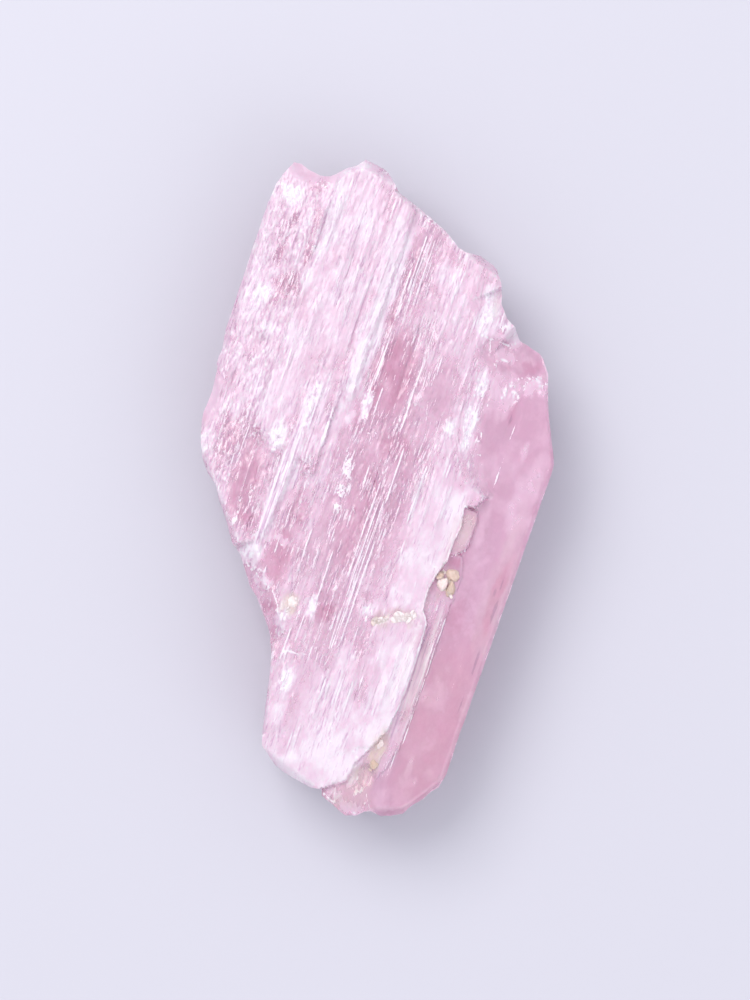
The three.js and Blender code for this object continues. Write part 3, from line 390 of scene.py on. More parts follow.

# Where long thin lines run close together: place, half width, half length, strength.
# These get painted highlights along the lines and painted shade between them.
COMBS = [
    (2.5, -7, 0.8, 8, 0.6), (11, -14.5, 0.9, 7.5, 0.8), (-6.9, 1, 0.9, 9, 0.7),
    (5.4, -19, 1.6, 3, 0.7), (-1.2, 20.5, 1, 4.8, 0.7), (5.6, 1.2, 0.4, 3.2, 0.9),
    (3.4, -19, 0.8, 2.4, 0.8), (2, -24.2, 0.5, 2, 0.8), (-1.2, -7.5, 1, 3, 0.5),
    (7.3, 4.2, 0.5, 1.6, 0.6), (-8.4, 21, 0.6, 4, 0.5), (2.4, 14.5, 0.5, 6, 0.6),
    (-1.6, 12.6, 0.5, 2.2, 0.7), (-5.6, 18, 0.5, 5, 0.5), (-3.6, 2, 1, 3.6, 0.4),
    (0, -15, 1.2, 2.4, 0.4),
]

# Places of deeper pink: place, half width, half length, strength.
DEEP_PINK = [
    (-0.2, 11, 2, 4.2, 0.9), (-1.5, 18, 1.2, 4.5, 0.35), (-10.3, -2.6, 1.4, 4.2, 0.7),
    (-5, -9, 1.3, 3.4, 0.9), (-13.1, 0.6, 1.2, 2.6, 0.8), (-4.6, -3.5, 1.2, 3, 0.4),
    (14, -19, 3, 9, 0.75), (-5.5, -13.4, 2.4, 1.8, 0.6), (-11.9, 21.5, 0.5, 2.2, 0.6),
    (-13.4, 15.2, 0.7, 2.8, 0.7), (0.8, -2, 1.6, 5, 0.45), (10.9, -3.9, 0.6, 0.6, 0.9),
    (10.7, -13, 0.7, 6, 0.5), (15.7, -6, 0.5, 3.6, 0.9), (9.4, 15.6, 1.2, 0.6, 0.3),
    (-3, -15.6, 0.6, 1.6, 0.9), (11.7, 10.9, 0.4, 1.2, 0.6), (-11.8, 23.2, 0.4, 0.8, 0.9),
    (-14, 22, 0.3, 1.1, 0.8), (-14.1, 18.6, 0.45, 1.1, 0.8), (-12.5, 15.8, 0.8, 1.6, 0.8),
    (-11.6, 19.2, 0.3, 1.1, 1), (-12.9, 25.4, 0.8, 0.4, 0.4), (-14.8, 26.7, 1.4, 0.5, 0.6),
    (0.9, -12.2, 0.8, 1, 0.9), (-11, 1.2, 0.9, 1.6, 0.5), (11.6, 15.9, 1, 0.7, 0.6),
    (2, 4.4, 1.6, 1.4, 0.6), (12.6, -8.8, 1, 2.4, 0.5), (-9.2, -6, 0.8, 1, 0.6),
    (-4.2, -13.2, 1, 1, 1),
]

# Beige staining: place, half width, half length, strength.
STAINS = [
    (10.9, -0.8, 0.7, 2.1, 0.35), (9.8, -23.2, 0.8, 2.2, 0.75), (9.2, -26.2, 1.2, 1.4, 0.42),
    (7.8, -10.3, 1.3, 0.8, 0.35), (6.2, -11.2, 0.8, 0.6, 0.35), (-2.5, -12.4, 0.9, 0.9, 0.55),
    (10.8, -5.8, 0.9, 1.3, 0.4), (8.8, -27.8, 2.2, 1.4, 0.25), (9.9, -2.2, 0.3, 3.6, 0.15),
    (9.6, -10, 0.5, 8, 0.1), (14.4, -19, 3, 9, 0.14), (15.6, -6, 1.2, 8, 0.16),
    (6.8, 20.2, 0.4, 0.9, 0.15), (11.2, -15, 0.6, 7, 0.2),
]

# Grains of matrix: centre, half sizes, turn in degrees, tone from 0 olive to 1 pinkish white.
GRAINS = [
    ((11.1, -5, 9.8), (0.6, 0.62, 0.34), 20, 0.15), ((11.4, -6.4, 9.75), (0.4, 0.82, 0.34), 4, 0),
    ((10, -5.4, 9.95), (0.36, 0.5, 0.34), -10, 0.1),
    ((10.5, -6.2, 9.85), (0.46, 0.8, 0.34), 8, 0.8),
    ((-2.3, -12.3, 10.28), (0.74, 0.66, 0.3), 15, 0.85),
    ((-2.55, -13.3, 10.18), (0.5, 0.52, 0.3), 50, 1),
    ((9.7, -22.6, 9.68), (0.4, 1, 0.3), -14, 0.85),
    ((9.8, -24, 9.62), (0.5, 0.76, 0.3), 10, -0.45),
]

# Seams of small crumbs: ends, height, how many, half width, half size of a crumb, tone.
SEAMS = [
    ((5.8, -11.3), (6.8, -10.9), 10.63, 9, 0.45, 0.42, 0.65),
    ((7.2, -10.6), (8.8, -10), 10.64, 14, 0.6, 0.44, 0.9),
    ((10.2, -4.7), (11.6, -7.2), 9.8, 12, 0.5, 0.2, 0.5),
    ((9.6, -21.4), (10.1, -25), 9.72, 12, 0.5, 0.2, 0.2),
    ((-2, -11.6), (-2.6, -13.6), 10.4, 10, 0.4, 0.18, 0.9),
]

GRAIN_FACES = 12  # broken faces that a grain is cut by

# Where the striations fade into a smooth face: place, half width, half length, strength.
SMOOTH = [
    (-0.2, 11, 1.8, 3.6, 0.8), (8.2, -2, 1.8, 7, 0.6), (8, -17, 2, 6, 0.5),
    (3.6, -26.2, 4.2, 2.6, 0.9), (-5, -8.4, 1.1, 3, 0.7), (-10.3, -2.8, 1.3, 4.2, 0.7),
    (1.2, -19.6, 1.4, 4.6, 0.8), (4.4, 9.6, 1.2, 3, 0.6), (6.2, -24.6, 2.6, 2.6, 0.7),
    (8.6, -23, 1, 2.6, 0.8), (-9.4, 6.6, 1.6, 1.6, 0.7), (5.2, 12, 1.3, 5, 0.5),
    (-14.8, 5.4, 1, 1.4, 0.7), (4.6, -12.8, 1.2, 1.6, 0.7), (4.2, -8.6, 0.9, 1.2, 0.6),
]

FLANK_EDGE = -11.0  # x where the etched left flank begins
TERRACE_ENDS = (-6.5, -26.0)
TERRACE_SIDE = 11.9
RIM_WIDTH = 0.4  # of the white painted highlight round the blade
LEDGE_WIDTH = 0.2  # of the white brink along the ledge
SHADOW_STEP = 0.16  # how far the painted shadow on the right of a thin white line lies from the line
CHIP_RELIEF = 0.12
WALL_RELIEF = 0.16  # depth of the ledges on the walls
SHARP_ANGLE = 38  # degrees above which an edge of the mesh isn't smoothed

# Mesh spacing in mm: across the striated plate, across the glassy side, along both, on the back
# face, and along the rim.
PLATE_STEP = 0.088
GLASSY_STEP = 0.15
ROW_STEP = 0.21
BACK_STEP = (0.25, 0.5)
RIM_STEP = 0.2
WALL_ROWS = 9
TOP_ABOVE = 6.0  # what lies higher counts as the upper surface
WALL_FADE = (4.5, 8.2)  # heights between which the walls take on the upper surface's whiteness


# ---------------------------------------------------------------- random and smooth functions

def lattice(ix, iy, seed):
    """A repeatable number from 0 to 1 for each whole-numbered place."""
    n = (ix * 374761393 + iy * 668265263 + seed * 144269504) & 0x7FFFFFFF
    n = ((n ^ (n >> 13)) * 1274126177) & 0x7FFFFFFF
    return ((n ^ (n >> 16)) & 0xFFFF) / 65535.0


def ease(t):
    t = np.clip(t, 0.0, 1.0)
    return t * t * (3.0 - 2.0 * t)


def noise(x, y, seed):
    """Smooth noise from -1 to 1 with a feature size of 1. Each pattern has a seed of its own."""
    ix, iy = np.floor(x).astype(np.int64), np.floor(y).astype(np.int64)
    u, v = ease(x - ix), ease(y - iy)
    low = lattice(ix, iy, seed) * (1 - u) + lattice(ix + 1, iy, seed) * u
    high = lattice(ix, iy + 1, seed) * (1 - u) + lattice(ix + 1, iy + 1, seed) * u
    return (low * (1 - v) + high * v) * 2 - 1


def rough(x, y, seed, octaves=4):
    """Noise of several sizes, from -1 to 1."""
    total = sum(noise(x * 2 ** k, y * 2 ** k, seed + k) / 2 ** k for k in range(octaves))
    return total / (2 - 2 ** (1 - octaves))


def lamellae(x, y, width, length, seed):
    """Long flat strips along Y with slightly rounded edges, each at its own height from -1 to 1."""
    u = x / width + 0.4 * noise(x / width * 0.6, y * 0.02, seed)
    u = u + 0.06 * noise(x, y * 0.4, seed + 1)
    column = np.floor(u).astype(np.int64)
    round_off = EDGE_ROUND / width
    side = ease((u - column - 1 + round_off) / round_off)
    here, beyond = (strip_height(column + k, y, length, seed) for k in (0, 1))
    return here * (1 - side) + beyond * side


def strip_height(column, y, length, seed):
    """One strip's height along Y: flat stretches with short slopes between them."""
    v = y / length * (0.6 + 0.8 * lattice(column, 0, seed + 2)) + 9 * lattice(column, 1, seed + 2)
    row = np.floor(v).astype(np.int64)
    fade = ease((v - row - 0.8) / 0.2)
    here, beyond = lattice(column, row, seed + 3), lattice(column, row + 1, seed + 3)
    return (here * (1 - fade) + beyond * fade) * 2 - 1


def from_line(x, y, start, end):
    """How far each place is, in x and in y, from the nearest point of a straight line."""
    ex, ey = end[0] - start[0], end[1] - start[1]
    dx, dy = x - start[0], y - start[1]
    t = np.clip((dx * ex + dy * ey) / (ex * ex + ey * ey), 0, 1)
    return dx - t * ex, dy - t * ey


def inside(x, y, points):
    """Distance to a polygon's outline, positive inside it."""
    nearest = np.full(x.shape, np.inf)
    within = np.zeros(x.shape, bool)
    for start, end in zip(points, points[1:] + points[:1]):
        nearest = np.minimum(nearest, np.hypot(*from_line(x, y, start, end)))
        (ax, ay), (bx, by) = start, end
        if by != ay:
            within ^= ((ay > y) != (by > y)) & (x < (bx - ax) * (y - ay) / (by - ay) + ax)
    return np.where(within, nearest, -nearest)


def spot(x, y, place):
    """One soft oval with a wandering edge, from 0 to 1."""
    sx, sy, half_x, half_y = place
    away = np.hypot((x - sx) / half_x, (y - sy) / half_y)
    return ease((1.35 - away) / 0.8)


def wander(x, y, seed):
    """The same places pushed a little to and fro, so that ovals drawn there get ragged edges."""
    push_x = 0.35 * rough(x * 1.1, y * 0.5, seed, 3) + 0.12 * rough(x * 4, y * 1.6, seed + 5, 2)
    push_y = 0.9 * rough(x * 0.9, y * 0.35, seed + 9, 3) + 0.5 * rough(x * 4, y * 1.2, seed + 13, 2)
    return x + push_x, y + push_y


def patch(x, y, spots, seed):
    """The strongest of several ragged spots."""
    total = np.zeros(x.shape)
    x, y = wander(x, y, seed)
    for *place, strength in spots:
        total = np.maximum(total, strength * spot(x, y, place))
    return total


def flank_share(x):
    """How far a place is on the etched left flank, from 0 to 1."""
    return ease(FLANK_EDGE - x)


def terrace_share(x, y, side=TERRACE_SIDE):
    """How far a place is on the terrace below the ledge, from 0 to 1."""
    upper, lower = TERRACE_ENDS
    return ease((side - x) / 0.4) * ease(upper - y) * ease((y - lower) / 1.5)


def smoothed(x, y):
    """Where the striations fade out, from 0 to 1."""
    return patch(x, y, SMOOTH, 431)


def chipped(x, y):
    """Where the surface is crumbled, from 0 to 1."""
    return patch(x, y, CHIPS, 401)


def smooth_min(a, b, width):
    """The lower of two heights, with their crease rounded over this width."""
    share = np.clip(0.5 + 0.5 * (b - a) / width, 0, 1)
    return b * (1 - share) + a * share - width * share * (1 - share)


# ---------------------------------------------------------------- the blade's surfaces

def across(x, y, start, end):
    """Places along and into the blade from a line that runs clockwise round the rim."""
    length = math.dist(start, end)
    ax, ay = (end[0] - start[0]) / length, (end[1] - start[1]) / length
    dx, dy = x - start[0], y - start[1]
    return dx * ax + dy * ay, dx * ay - dy * ax, length


def bar(x, y, centre, upper, lower, slope, peak):
    """Height of a long roof along Y, whose ridge fades out at both ends."""
    taper = min(TAPER, (upper - lower) * 0.35)
    end = np.maximum(0, np.maximum(y - (upper - taper), (lower + taper) - y))
    fade = end * RIB_ROOT / taper
    return peak - fade - np.abs(x - centre) * slope


def top_height(x, y):
    """Height of the upper surface."""
    z = np.full(x.shape, SLAB_TOP)
    for index, (top, at, fall, edge, fade, points) in enumerate(BANKS):
        squeezed = [(px, py / fade) for px, py in points]
        ragged = inside(x, y / fade, squeezed) + 0.12 * rough(x * 1.3, y * 0.9, 40 + index)
        ragged = ragged + 0.1 * rough(x * 3.6, y * 3.2, 240 + index, 2)
        plane = top - fall * (x - at)
        if points is UPPER_PLATE:
            long = np.maximum(ease((y - SLOPE_ABOVE) / 1.4), ease(-x))
            long = np.maximum(long, 0.25 * ease((-24.5 - y) / 1.5))
            edge = edge + (SLOPE_WIDTH - edge) * long
        z = np.where(plane > z, z + (plane - z) * ease(ragged / edge + 0.5), z)
    for way, lines, slope, seed in ((1, RIBS, RIB_SLOPE, 7), (-1, GROOVES, GROOVE_SLOPE, 8)):
        for centre, upper, lower, width, level in lines:
            wobble = centre + 0.12 * noise(y * 0.25 + centre, y * 0 + centre, seed)
            roof = bar(x, y, wobble, upper, lower, slope / width, way * level)
            z = -way * smooth_min(-way * z, -roof, RIB_ROUND)
    z = z + 0.9 * plate_share(x, y) * stepping(z, x, y)
    striated = striation(x, y)
    z = z + striated
    for index, facet in enumerate(TOP_FACETS):
        cut = facet_height(x, y, facet, 1, index) + FACET_STRIATION * striated
        z = smooth_min(z, cut, FACET_ROUND)
    for (cx, cy, cz), radius in SCOOPS:
        away = np.hypot(x - cx, y - cy)
        ripple = 0.05 * np.sin(away * 5 + 2 * noise(x, y, 3))
        bowl = cz - np.sqrt(np.maximum(radius ** 2 - away ** 2, 0))
        z = np.where(away < radius, smooth_min(z, bowl + ripple, FACET_ROUND), z)
    return z + crumbled(x, y)


def stepping(z, x, y):
    """What turns a smooth height into flat treads with short risers between them."""
    level = z / STEP_RISE + 0.9 * rough(x * 0.5, y * 0.14, 191, 3)
    share = level - np.floor(level)
    return STEP_RISE * (ease((share - 0.35) / 0.3) - share)


def plate_share(x, y):
    """How far the surface belongs to the plate with sharp striations."""
    return striated_share(x, y, 0.5) * (1 - flank_share(x)) * (1 - 0.75 * smoothed(x, y))


def crumbled(x, y):
    """The lumps and pits of the white chips."""
    lumps = 1 - 2.4 * np.abs(rough(x * 1.7, y * 1.2, 411, 3))
    return CHIP_RELIEF * chipped(x, y) * (lumps + 0.9 * rough(x * 3.6, y * 2.6, 421, 2))


def striation(x, y):
    """The fine relief of the striated faces, the etched flank and the glassy face."""
    plate = striated_share(x, y, 0.5)
    flank = flank_share(x)
    terrace = terrace_share(x, y, TERRACE_SIDE + 0.1) * (1 - plate)
    amount = 0.015 + 0.985 * plate + 0.6 * terrace * (1 - flank)
    amount = amount * (1 - 0.75 * smoothed(x, y))
    coarse = 0.3 + 0.9 * ease(0.5 + 1.2 * rough(x * 0.35, y * 0.16, 81, 2))
    fine = 0.25 + 1.1 * ease(0.5 + 1.6 * rough(x * 0.5, y * 0.28, 85, 2))
    strips = (
        0.03 * lamellae(x, y, 1.3, 7, 11) + 0.04 * coarse * lamellae(x, y, 0.62, 2.6, 21)
        + 0.042 * fine * lamellae(x, y, 0.3, 1.2, 31)
    )
    flaked = 0.05 * rough(x * 1.1, y * 0.8, 51) + 0.035 * rough(x * 3.4, y * 2.2, 55, 2)
    pitted = (
        0.12 * rough(x * 1.6, y * 0.9, 61) + 0.22 * np.minimum(0, rough(x * 2.6, y * 1.5, 71))
        + 0.05 * rough(x * 4.5 + 0.8 * y, y * 2.4, 75, 2)
    )
    return amount * (strips + flaked) * (1 - 0.5 * flank) + flank * pitted


def striated_share(x, y, edge):
    """How far the surface belongs to the striated faces; their border is soft above the ledge."""
    edge = edge + 1.2 * ease((y - SLOPE_ABOVE) / 2) * ease(x - 4)
    return ease(inside(x, y, STRIATED) / edge + 0.5)


def facet_height(x, y, facet, side, index):
    """A facet's plane, which turns away beyond its ends. side is 1 on top, -1 below."""
    start, end, height, slope, past = facet
    along, into, length = across(x, y, start, end)
    plane = height + side * into * math.tan(math.radians(slope))
    hackle = 0.1 * rough(x * 1.1, y * 1.1, 90 + index) + 0.04 * rough(x * 4, y * 4, 120 + index)
    beyond = np.maximum(-past - along, along - length - past)
    return plane + hackle + side * np.maximum(beyond, 0) * BEYOND_SLOPE


def back_height(x, y):
    """Height of the back face."""
    z = 0.05 * (1 + lamellae(x, y, 1.9, 14, 131)) + 0.04 * (1 + lamellae(x, y, 0.7, 8, 141))
    for depth, points in BACK_STEPS:
        ragged = inside(x, y, points) + 0.12 * rough(x * 1.3, y * 0.9, 150)
        z = np.maximum(z, depth * ease(ragged / 0.4 + 0.5))
    for centre, upper, lower, width, depth in BACK_GROOVES:
        z = np.maximum(z, bar(x, y, centre, upper, lower, depth / (width / 2), depth))
    for index, facet in enumerate(BACK_FACETS):
        z = np.maximum(z, facet_height(x, y, facet, -1, 30 + index))
    return np.maximum(z, 0)


# ---------------------------------------------------------------- mesh

def ragged_rim():
    """Points along the outline, evenly spaced, with small chips."""
    points = []
    for start, end in zip(OUTLINE, OUTLINE[1:] + OUTLINE[:1]):
        count = max(1, round(math.dist(start, end) / RIM_STEP))
        for k in range(count):
            t = k / count
            points.append((start[0] + (end[0] - start[0]) * t, start[1] + (end[1] - start[1]) * t))
    rim = np.array(points)
    inward = rim_inward(rim)
    chips = 0.05 * (1 + rough(rim[:, 0] * 1.5, rim[:, 1] * 1.5, 5))
    return rim + inward * chips[:, None]


def rim_inward(rim):
    """The direction into the blade at each rim point."""
    along = np.roll(rim, -1, 0) - np.roll(rim, 1, 0)
    along /= np.linalg.norm(along, axis=1)[:, None]
    return np.stack([along[:, 1], -along[:, 0]], 1)


def columns():
    """Places across for the upper mesh, closer together on the striated plate."""
    striated = np.arange(-17, 12, PLATE_STEP)
    return np.concatenate([striated, np.arange(striated[-1] + GLASSY_STEP, 17, GLASSY_STEP)])


def sheet(rim, across_places, row_step):
    """Places and triangles over the outline, and where each rim point went."""
    spacing = across_places[1] - across_places[0]
    squeeze = spacing / row_step
    grid_x, grid_y = np.meshgrid(across_places, np.arange(-30, 30, row_step))
    keep = inside(grid_x, grid_y, OUTLINE) > 0.6 * spacing + 0.1
    places = np.concatenate([rim, np.stack([grid_x[keep], grid_y[keep]], 1)])
    count = len(rim)
    edges = [(k, (k + 1) % count) for k in range(count)]
    flat = [Vector((px, py * squeeze)) for px, py in places]
    made, _, faces, origins, _, _ = delaunay_2d_cdt(flat, edges, [], 1, 1e-6, True)
    xy = np.array([(v.x, v.y / squeeze) for v in made])
    at_rim = np.zeros(count, int)
    for index, sources in enumerate(origins):
        for source in sources:
            if source < count:
                at_rim[source] = index
    return xy, within_rim(xy, np.array(faces), at_rim), at_rim


def within_rim(xy, faces, at_rim):
    """The triangles without those that bridge a notch in the rim from outside."""
    on_rim = np.zeros(len(xy), bool)
    on_rim[at_rim] = True
    bridging = on_rim[faces].all(axis=1)
    middle = xy[faces].mean(axis=1)
    outline = [tuple(p) for p in xy[at_rim]]
    outside = bridging.copy()
    outside[bridging] = inside(*middle[bridging].T, outline) < 0
    return faces[~outside]


def blade_arrays():
    """Vertices, triangles and quads of the whole blade, in mm."""
    rim = ragged_rim()
    top_xy, top_faces, top_rim = sheet(rim, columns(), ROW_STEP)
    back_xy, back_faces, back_rim = sheet(rim, np.arange(-17, 17, BACK_STEP[0]), BACK_STEP[1])
    back_z = back_height(*back_xy.T)
    top_z = np.maximum(top_height(*top_xy.T), back_height(*top_xy.T) + LEAST_THICKNESS)
    top = np.column_stack([top_xy, top_z])
    back = np.column_stack([back_xy, back_z])
    high, low = top[top_rim], back[back_rim]
    inward = rim_inward(rim)
    rows, parts = [top_rim], [top, back]
    start = len(top) + len(back)
    for row in range(1, WALL_ROWS):
        share = row / WALL_ROWS
        ring = high * (1 - share) + low * share
        ring[:, :2] += inward * wall_depth(ring, share)[:, None]
        parts.append(ring)
        rows.append(start + np.arange(len(rim)))
        start += len(rim)
    rows.append(len(top) + back_rim)
    quads = [
        np.stack([upper, np.roll(upper, -1), np.roll(lower, -1), lower], 1)
        for upper, lower in zip(rows, rows[1:])
    ]
    triangles = np.concatenate([top_faces, back_faces[:, ::-1] + len(top)])
    return np.concatenate(parts), triangles, np.concatenate(quads)


def wall_depth(ring, share):
    """How far the wall stands back from the rim: fine ledges along it, and none at its edges."""
    x, y, z = ring.T
    ledges = lamellae(z, y, 0.45, 7, 161) + 0.6 * rough(x * 1.2 + z, y * 1.2 - z, 171)
    return WALL_RELIEF * (1.1 + ledges) * math.sin(math.pi * share) ** 0.5


def new_object(name, data):
    obj = bpy.data.objects.new(name, data)
    bpy.context.scene.collection.objects.link(obj)
    return obj


def mesh_object(name, vertices, faces, material):
    """A smooth-shaded object from vertices in plan mm, with sharp edges kept."""
    mesh = bpy.data.meshes.new(name)
    mesh.from_pydata(((vertices - (*PLAN_CENTRE, 0)) * MM).tolist(), [], faces)
    mesh.update()
    mesh.shade_smooth()
    mesh.set_sharp_from_angle(angle=math.radians(SHARP_ANGLE))
    mesh.materials.append(material)
    return new_object(name, mesh)


def put_attribute(mesh, name, values):
    layer = mesh.attributes.new(name, "FLOAT", "POINT")
    layer.data.foreach_set("value", np.asarray(values, np.float32))


# ---------------------------------------------------------------- masks

def whiteness(x, y, z):
    """How white the surface is, from 0 clear to 1 white."""
    plate = striated_share(x, y, 0.3)
    beside = 0.06 + 0.3 * terrace_share(x, y) + 0.2 * rough(x * 0.4, y * 0.3, 451, 4)
    wx, wy = wander(x, y, 441)
    striated = painted(0.42 + 0.14 * flank_share(x), wx, wy, VEILS)
    level = striated * plate + painted(beside, wx, wy, CLOUDS) * (1 - plate)
    below = 0.32 + 0.35 * rough(x * 0.5 + z * 0.3, y * 0.16, 461)
    share = ease((z - WALL_FADE[0]) / (WALL_FADE[1] - WALL_FADE[0]))
    # The painted highlight round the rim is taken in as whiteness.
    return np.maximum(level * share + below * (1 - share), rim_highlight(x, y, z > TOP_ABOVE))


def painted(level, x, y, spots):
    """A level with each spot's own painted over it in turn."""
    for *place, target in spots:
        covered = spot(x, y, place)
        level = level * (1 - covered) + target * covered
    return level


def rim_highlight(x, y, top):
    """A white painted highlight round the blade's rim, stronger on the upper face than on the
    walls.
    """
    uneven = 0.4 + 0.9 * rough(x * 0.8, y * 0.8, 471)
    rim = uneven * ease((RIM_WIDTH - inside(x, y, OUTLINE)) / RIM_WIDTH)
    return np.where(top, 0.8, 0.6) * rim


def fibrous(x, y):
    """How fibrous the surface is, from 0 on the glassy face to 1 on the striated faces."""
    fibre = 0.06 + 0.94 * np.maximum(striated_share(x, y, 0.6), 0.5 * terrace_share(x, y))
    for (cx, cy, cz), radius in SCOOPS:
        reach = math.sqrt(radius ** 2 - (cz - PLATE_TOP) ** 2)
        fibre = np.minimum(fibre, 0.1 + ease((np.hypot(x - cx, y - cy) - reach) / 0.4))
    return fibre * (1 - 0.55 * smoothed(x, y))


def ledge_line(x, y):
    """The bright, thin brink of the plate along its ledge, from 0 to 1."""
    depth = inside(x, y, UPPER_PLATE)
    brink = ease((LEDGE_WIDTH + 0.1 * rough(x, y * 0.7, 481) - depth) / 0.1) * (depth > 0)
    return brink * ease((x - 8.2) / 0.8) * ease((2.2 - y) / 0.8) * ease((y + 25) / 1.0)


def etched(x, y):
    """How gritty the surface is: most on the left flank and round the chips."""
    flank = ease(FLANK_EDGE + 0.6 - x) * (1 - 0.7 * smoothed(x, y))
    return np.maximum(flank, chipped(x, y)) * fibrous(x, y)


def sharpness(x, y, reach=0.12):
    """Where the upper surface is a sharp convex edge, from 0 to 1."""
    middle = top_height(x, y)
    beside = np.minimum(
        top_height(x - reach, y) + top_height(x + reach, y),
        top_height(x, y - reach * 2) + top_height(x, y + reach * 2),
    ) / 2
    return np.clip((middle - beside - 0.012) / 0.04, 0, 1)


def fine_lines(x, y, streaks):
    """How near each place is to one of the thin lines: above 0.5 within it, below 0 far from it."""
    broken = 0.5 * rough(x * 2.4, y * 0.8, 491)
    total = np.full(x.shape, -1.0)
    for centre, upper, lower, width, strength in streaks:
        wobble = centre + 0.05 * noise(y * 0.4, y * 0 + centre, 9)
        past_end = np.maximum(0, np.maximum(y - upper + 0.8, lower + 0.8 - y)) / 0.8
        level = 1.3 - np.abs(x - wobble) / width - past_end - 0.8 * (1 - strength)
        total = np.maximum(total, level + broken * (1.4 - strength))
    return total


def white_lines(x, y):
    """All the white lines together: along the striations, cracks and the ledge's brink."""
    drawn = np.maximum(fine_lines(x, y, STREAKS), crack_lines(x, y))
    return np.maximum(drawn, ledge_line(x, y))


def crack_lines(x, y):
    """The same for the short cracks that run at an angle."""
    total = np.full(x.shape, -1.0)
    wx, wy = x + 0.12 * noise(x * 2, y * 2, 531), y + 0.12 * noise(x * 2, y * 2, 532)
    for start, end, width, strength in CRACKS:
        across_it, along_it = from_line(wx, wy, start, end)
        away = np.hypot(across_it, along_it * 0.8)
        total = np.maximum(total, 1.2 - away / width - 0.8 * (1 - strength))
    return total


# ---------------------------------------------------------------- materials

# Colours as a screen shows them, from 0 to 255.
PALE_PINK = (241, 193, 220)
FULL_PINK = (234, 168, 200)
MILKY = (213, 195, 210)
MILKIEST = (219, 209, 217)
# Drawn for the dark lines and for painted shade.
SHADE_AND_DARK_LINE = (190, 152, 184)
# Drawn for white flecks and lines and for painted highlights.
WHITE_AND_HIGHLIGHT = (222, 214, 222)
BEIGE = (202, 182, 168)
MATRIX_OLIVE = (188, 164, 150)
MATRIX_WHITE = (230, 210, 210)
FLOOR_GREY = (186, 184, 194)
SPODUMENE_IOR = 1.66
THROUGH_PINK = (0.96, 0.70, 0.87, 1.0)  # what the crystal lets through
BUMP_HEIGHT = 0.1 * MM


def colour(screen):
    """A screen's colour as the shader wants it."""
    return (*(((c / 255 + 0.055) / 1.055) ** 2.4 for c in screen), 1.0)


class Nodes:
    """A material's node tree, built one node at a time."""

    def __init__(self, name):
        self.material = bpy.data.materials.new(name)
        self.material.use_nodes = True
        self.tree = self.material.node_tree
        self.tree.nodes.clear()

    def add(self, kind, settings=None, **inputs):
        node = self.tree.nodes.new(kind)
        for key, value in (settings or {}).items():
            setattr(node, key, value)
        for key, value in inputs.items():
            self.feed(node.inputs[key.replace("_", " ")], value)
        return node

    def feed(self, socket, value):
        if isinstance(value, bpy.types.NodeSocket):
            self.tree.links.new(value, socket)
        else:
            socket.default_value = value

    def attribute(self, name):
        return self.add("ShaderNodeAttribute", {"attribute_name": name}).outputs["Fac"]

    def math(self, operation, a, b, clamp=False):
        node = self.add("ShaderNodeMath", {"operation": operation, "use_clamp": clamp})
        self.feed(node.inputs[0], a)
        self.feed(node.inputs[1], b)
        return node.outputs[0]

    def sum(self, first, *others):
        for other in others:
            first = self.math("ADD", first, other)
        return first

    def scale(self, value, low, high):
        """value from 0 to 1, taken to low to high."""
        node = self.add("ShaderNodeMapRange", Value=value, To_Min=low, To_Max=high)
        return node.outputs["Result"]

    def spread(self, value, amount):
        """A noise around 0.5, taken to lie around 0."""
        return self.math("MULTIPLY", self.math("SUBTRACT", value, 0.5), amount)

    def step(self, value, start, end):
        """A soft step from 0 to 1 as value goes from start to end."""
        node = self.add("ShaderNodeMapRange", {"interpolation_type": "SMOOTHSTEP"},
                        Value=value, From_Min=start, From_Max=end)
        return node.outputs["Result"]

    def mix(self, factor, a, b):
        node = self.add("ShaderNodeMix", {"data_type": "RGBA"})
        self.feed(node.inputs[0], factor)
        self.feed(node.inputs[6], a)
        self.feed(node.inputs[7], b)
        return node.outputs[2]

    def noise(self, size_mm, detail=3.0, roughness=0.6, shift=0.0):
        """Noise with features of these sizes in mm, shifted by so many of them along x."""
        place = self.add("ShaderNodeTexCoord").outputs["Object"]
        stretch = self.add("ShaderNodeMapping", Vector=place, Location=(shift, 0, 0),
                           Scale=[1 / (s * MM) for s in size_mm])
        node = self.add("ShaderNodeTexNoise", Vector=stretch.outputs[0], Scale=1.0, Detail=detail,
                        Roughness=roughness)
        return node.outputs["Fac"]

    def emboss(self, size_mm, shift):
        """Painted light and shade of a relief lit from the left: a noise less itself a little
        beside.
        """
        lit, shaded = (self.noise(size_mm, 3.0, 0.62, side * shift) for side in (-1, 1))
        return self.math("SUBTRACT", lit, shaded)


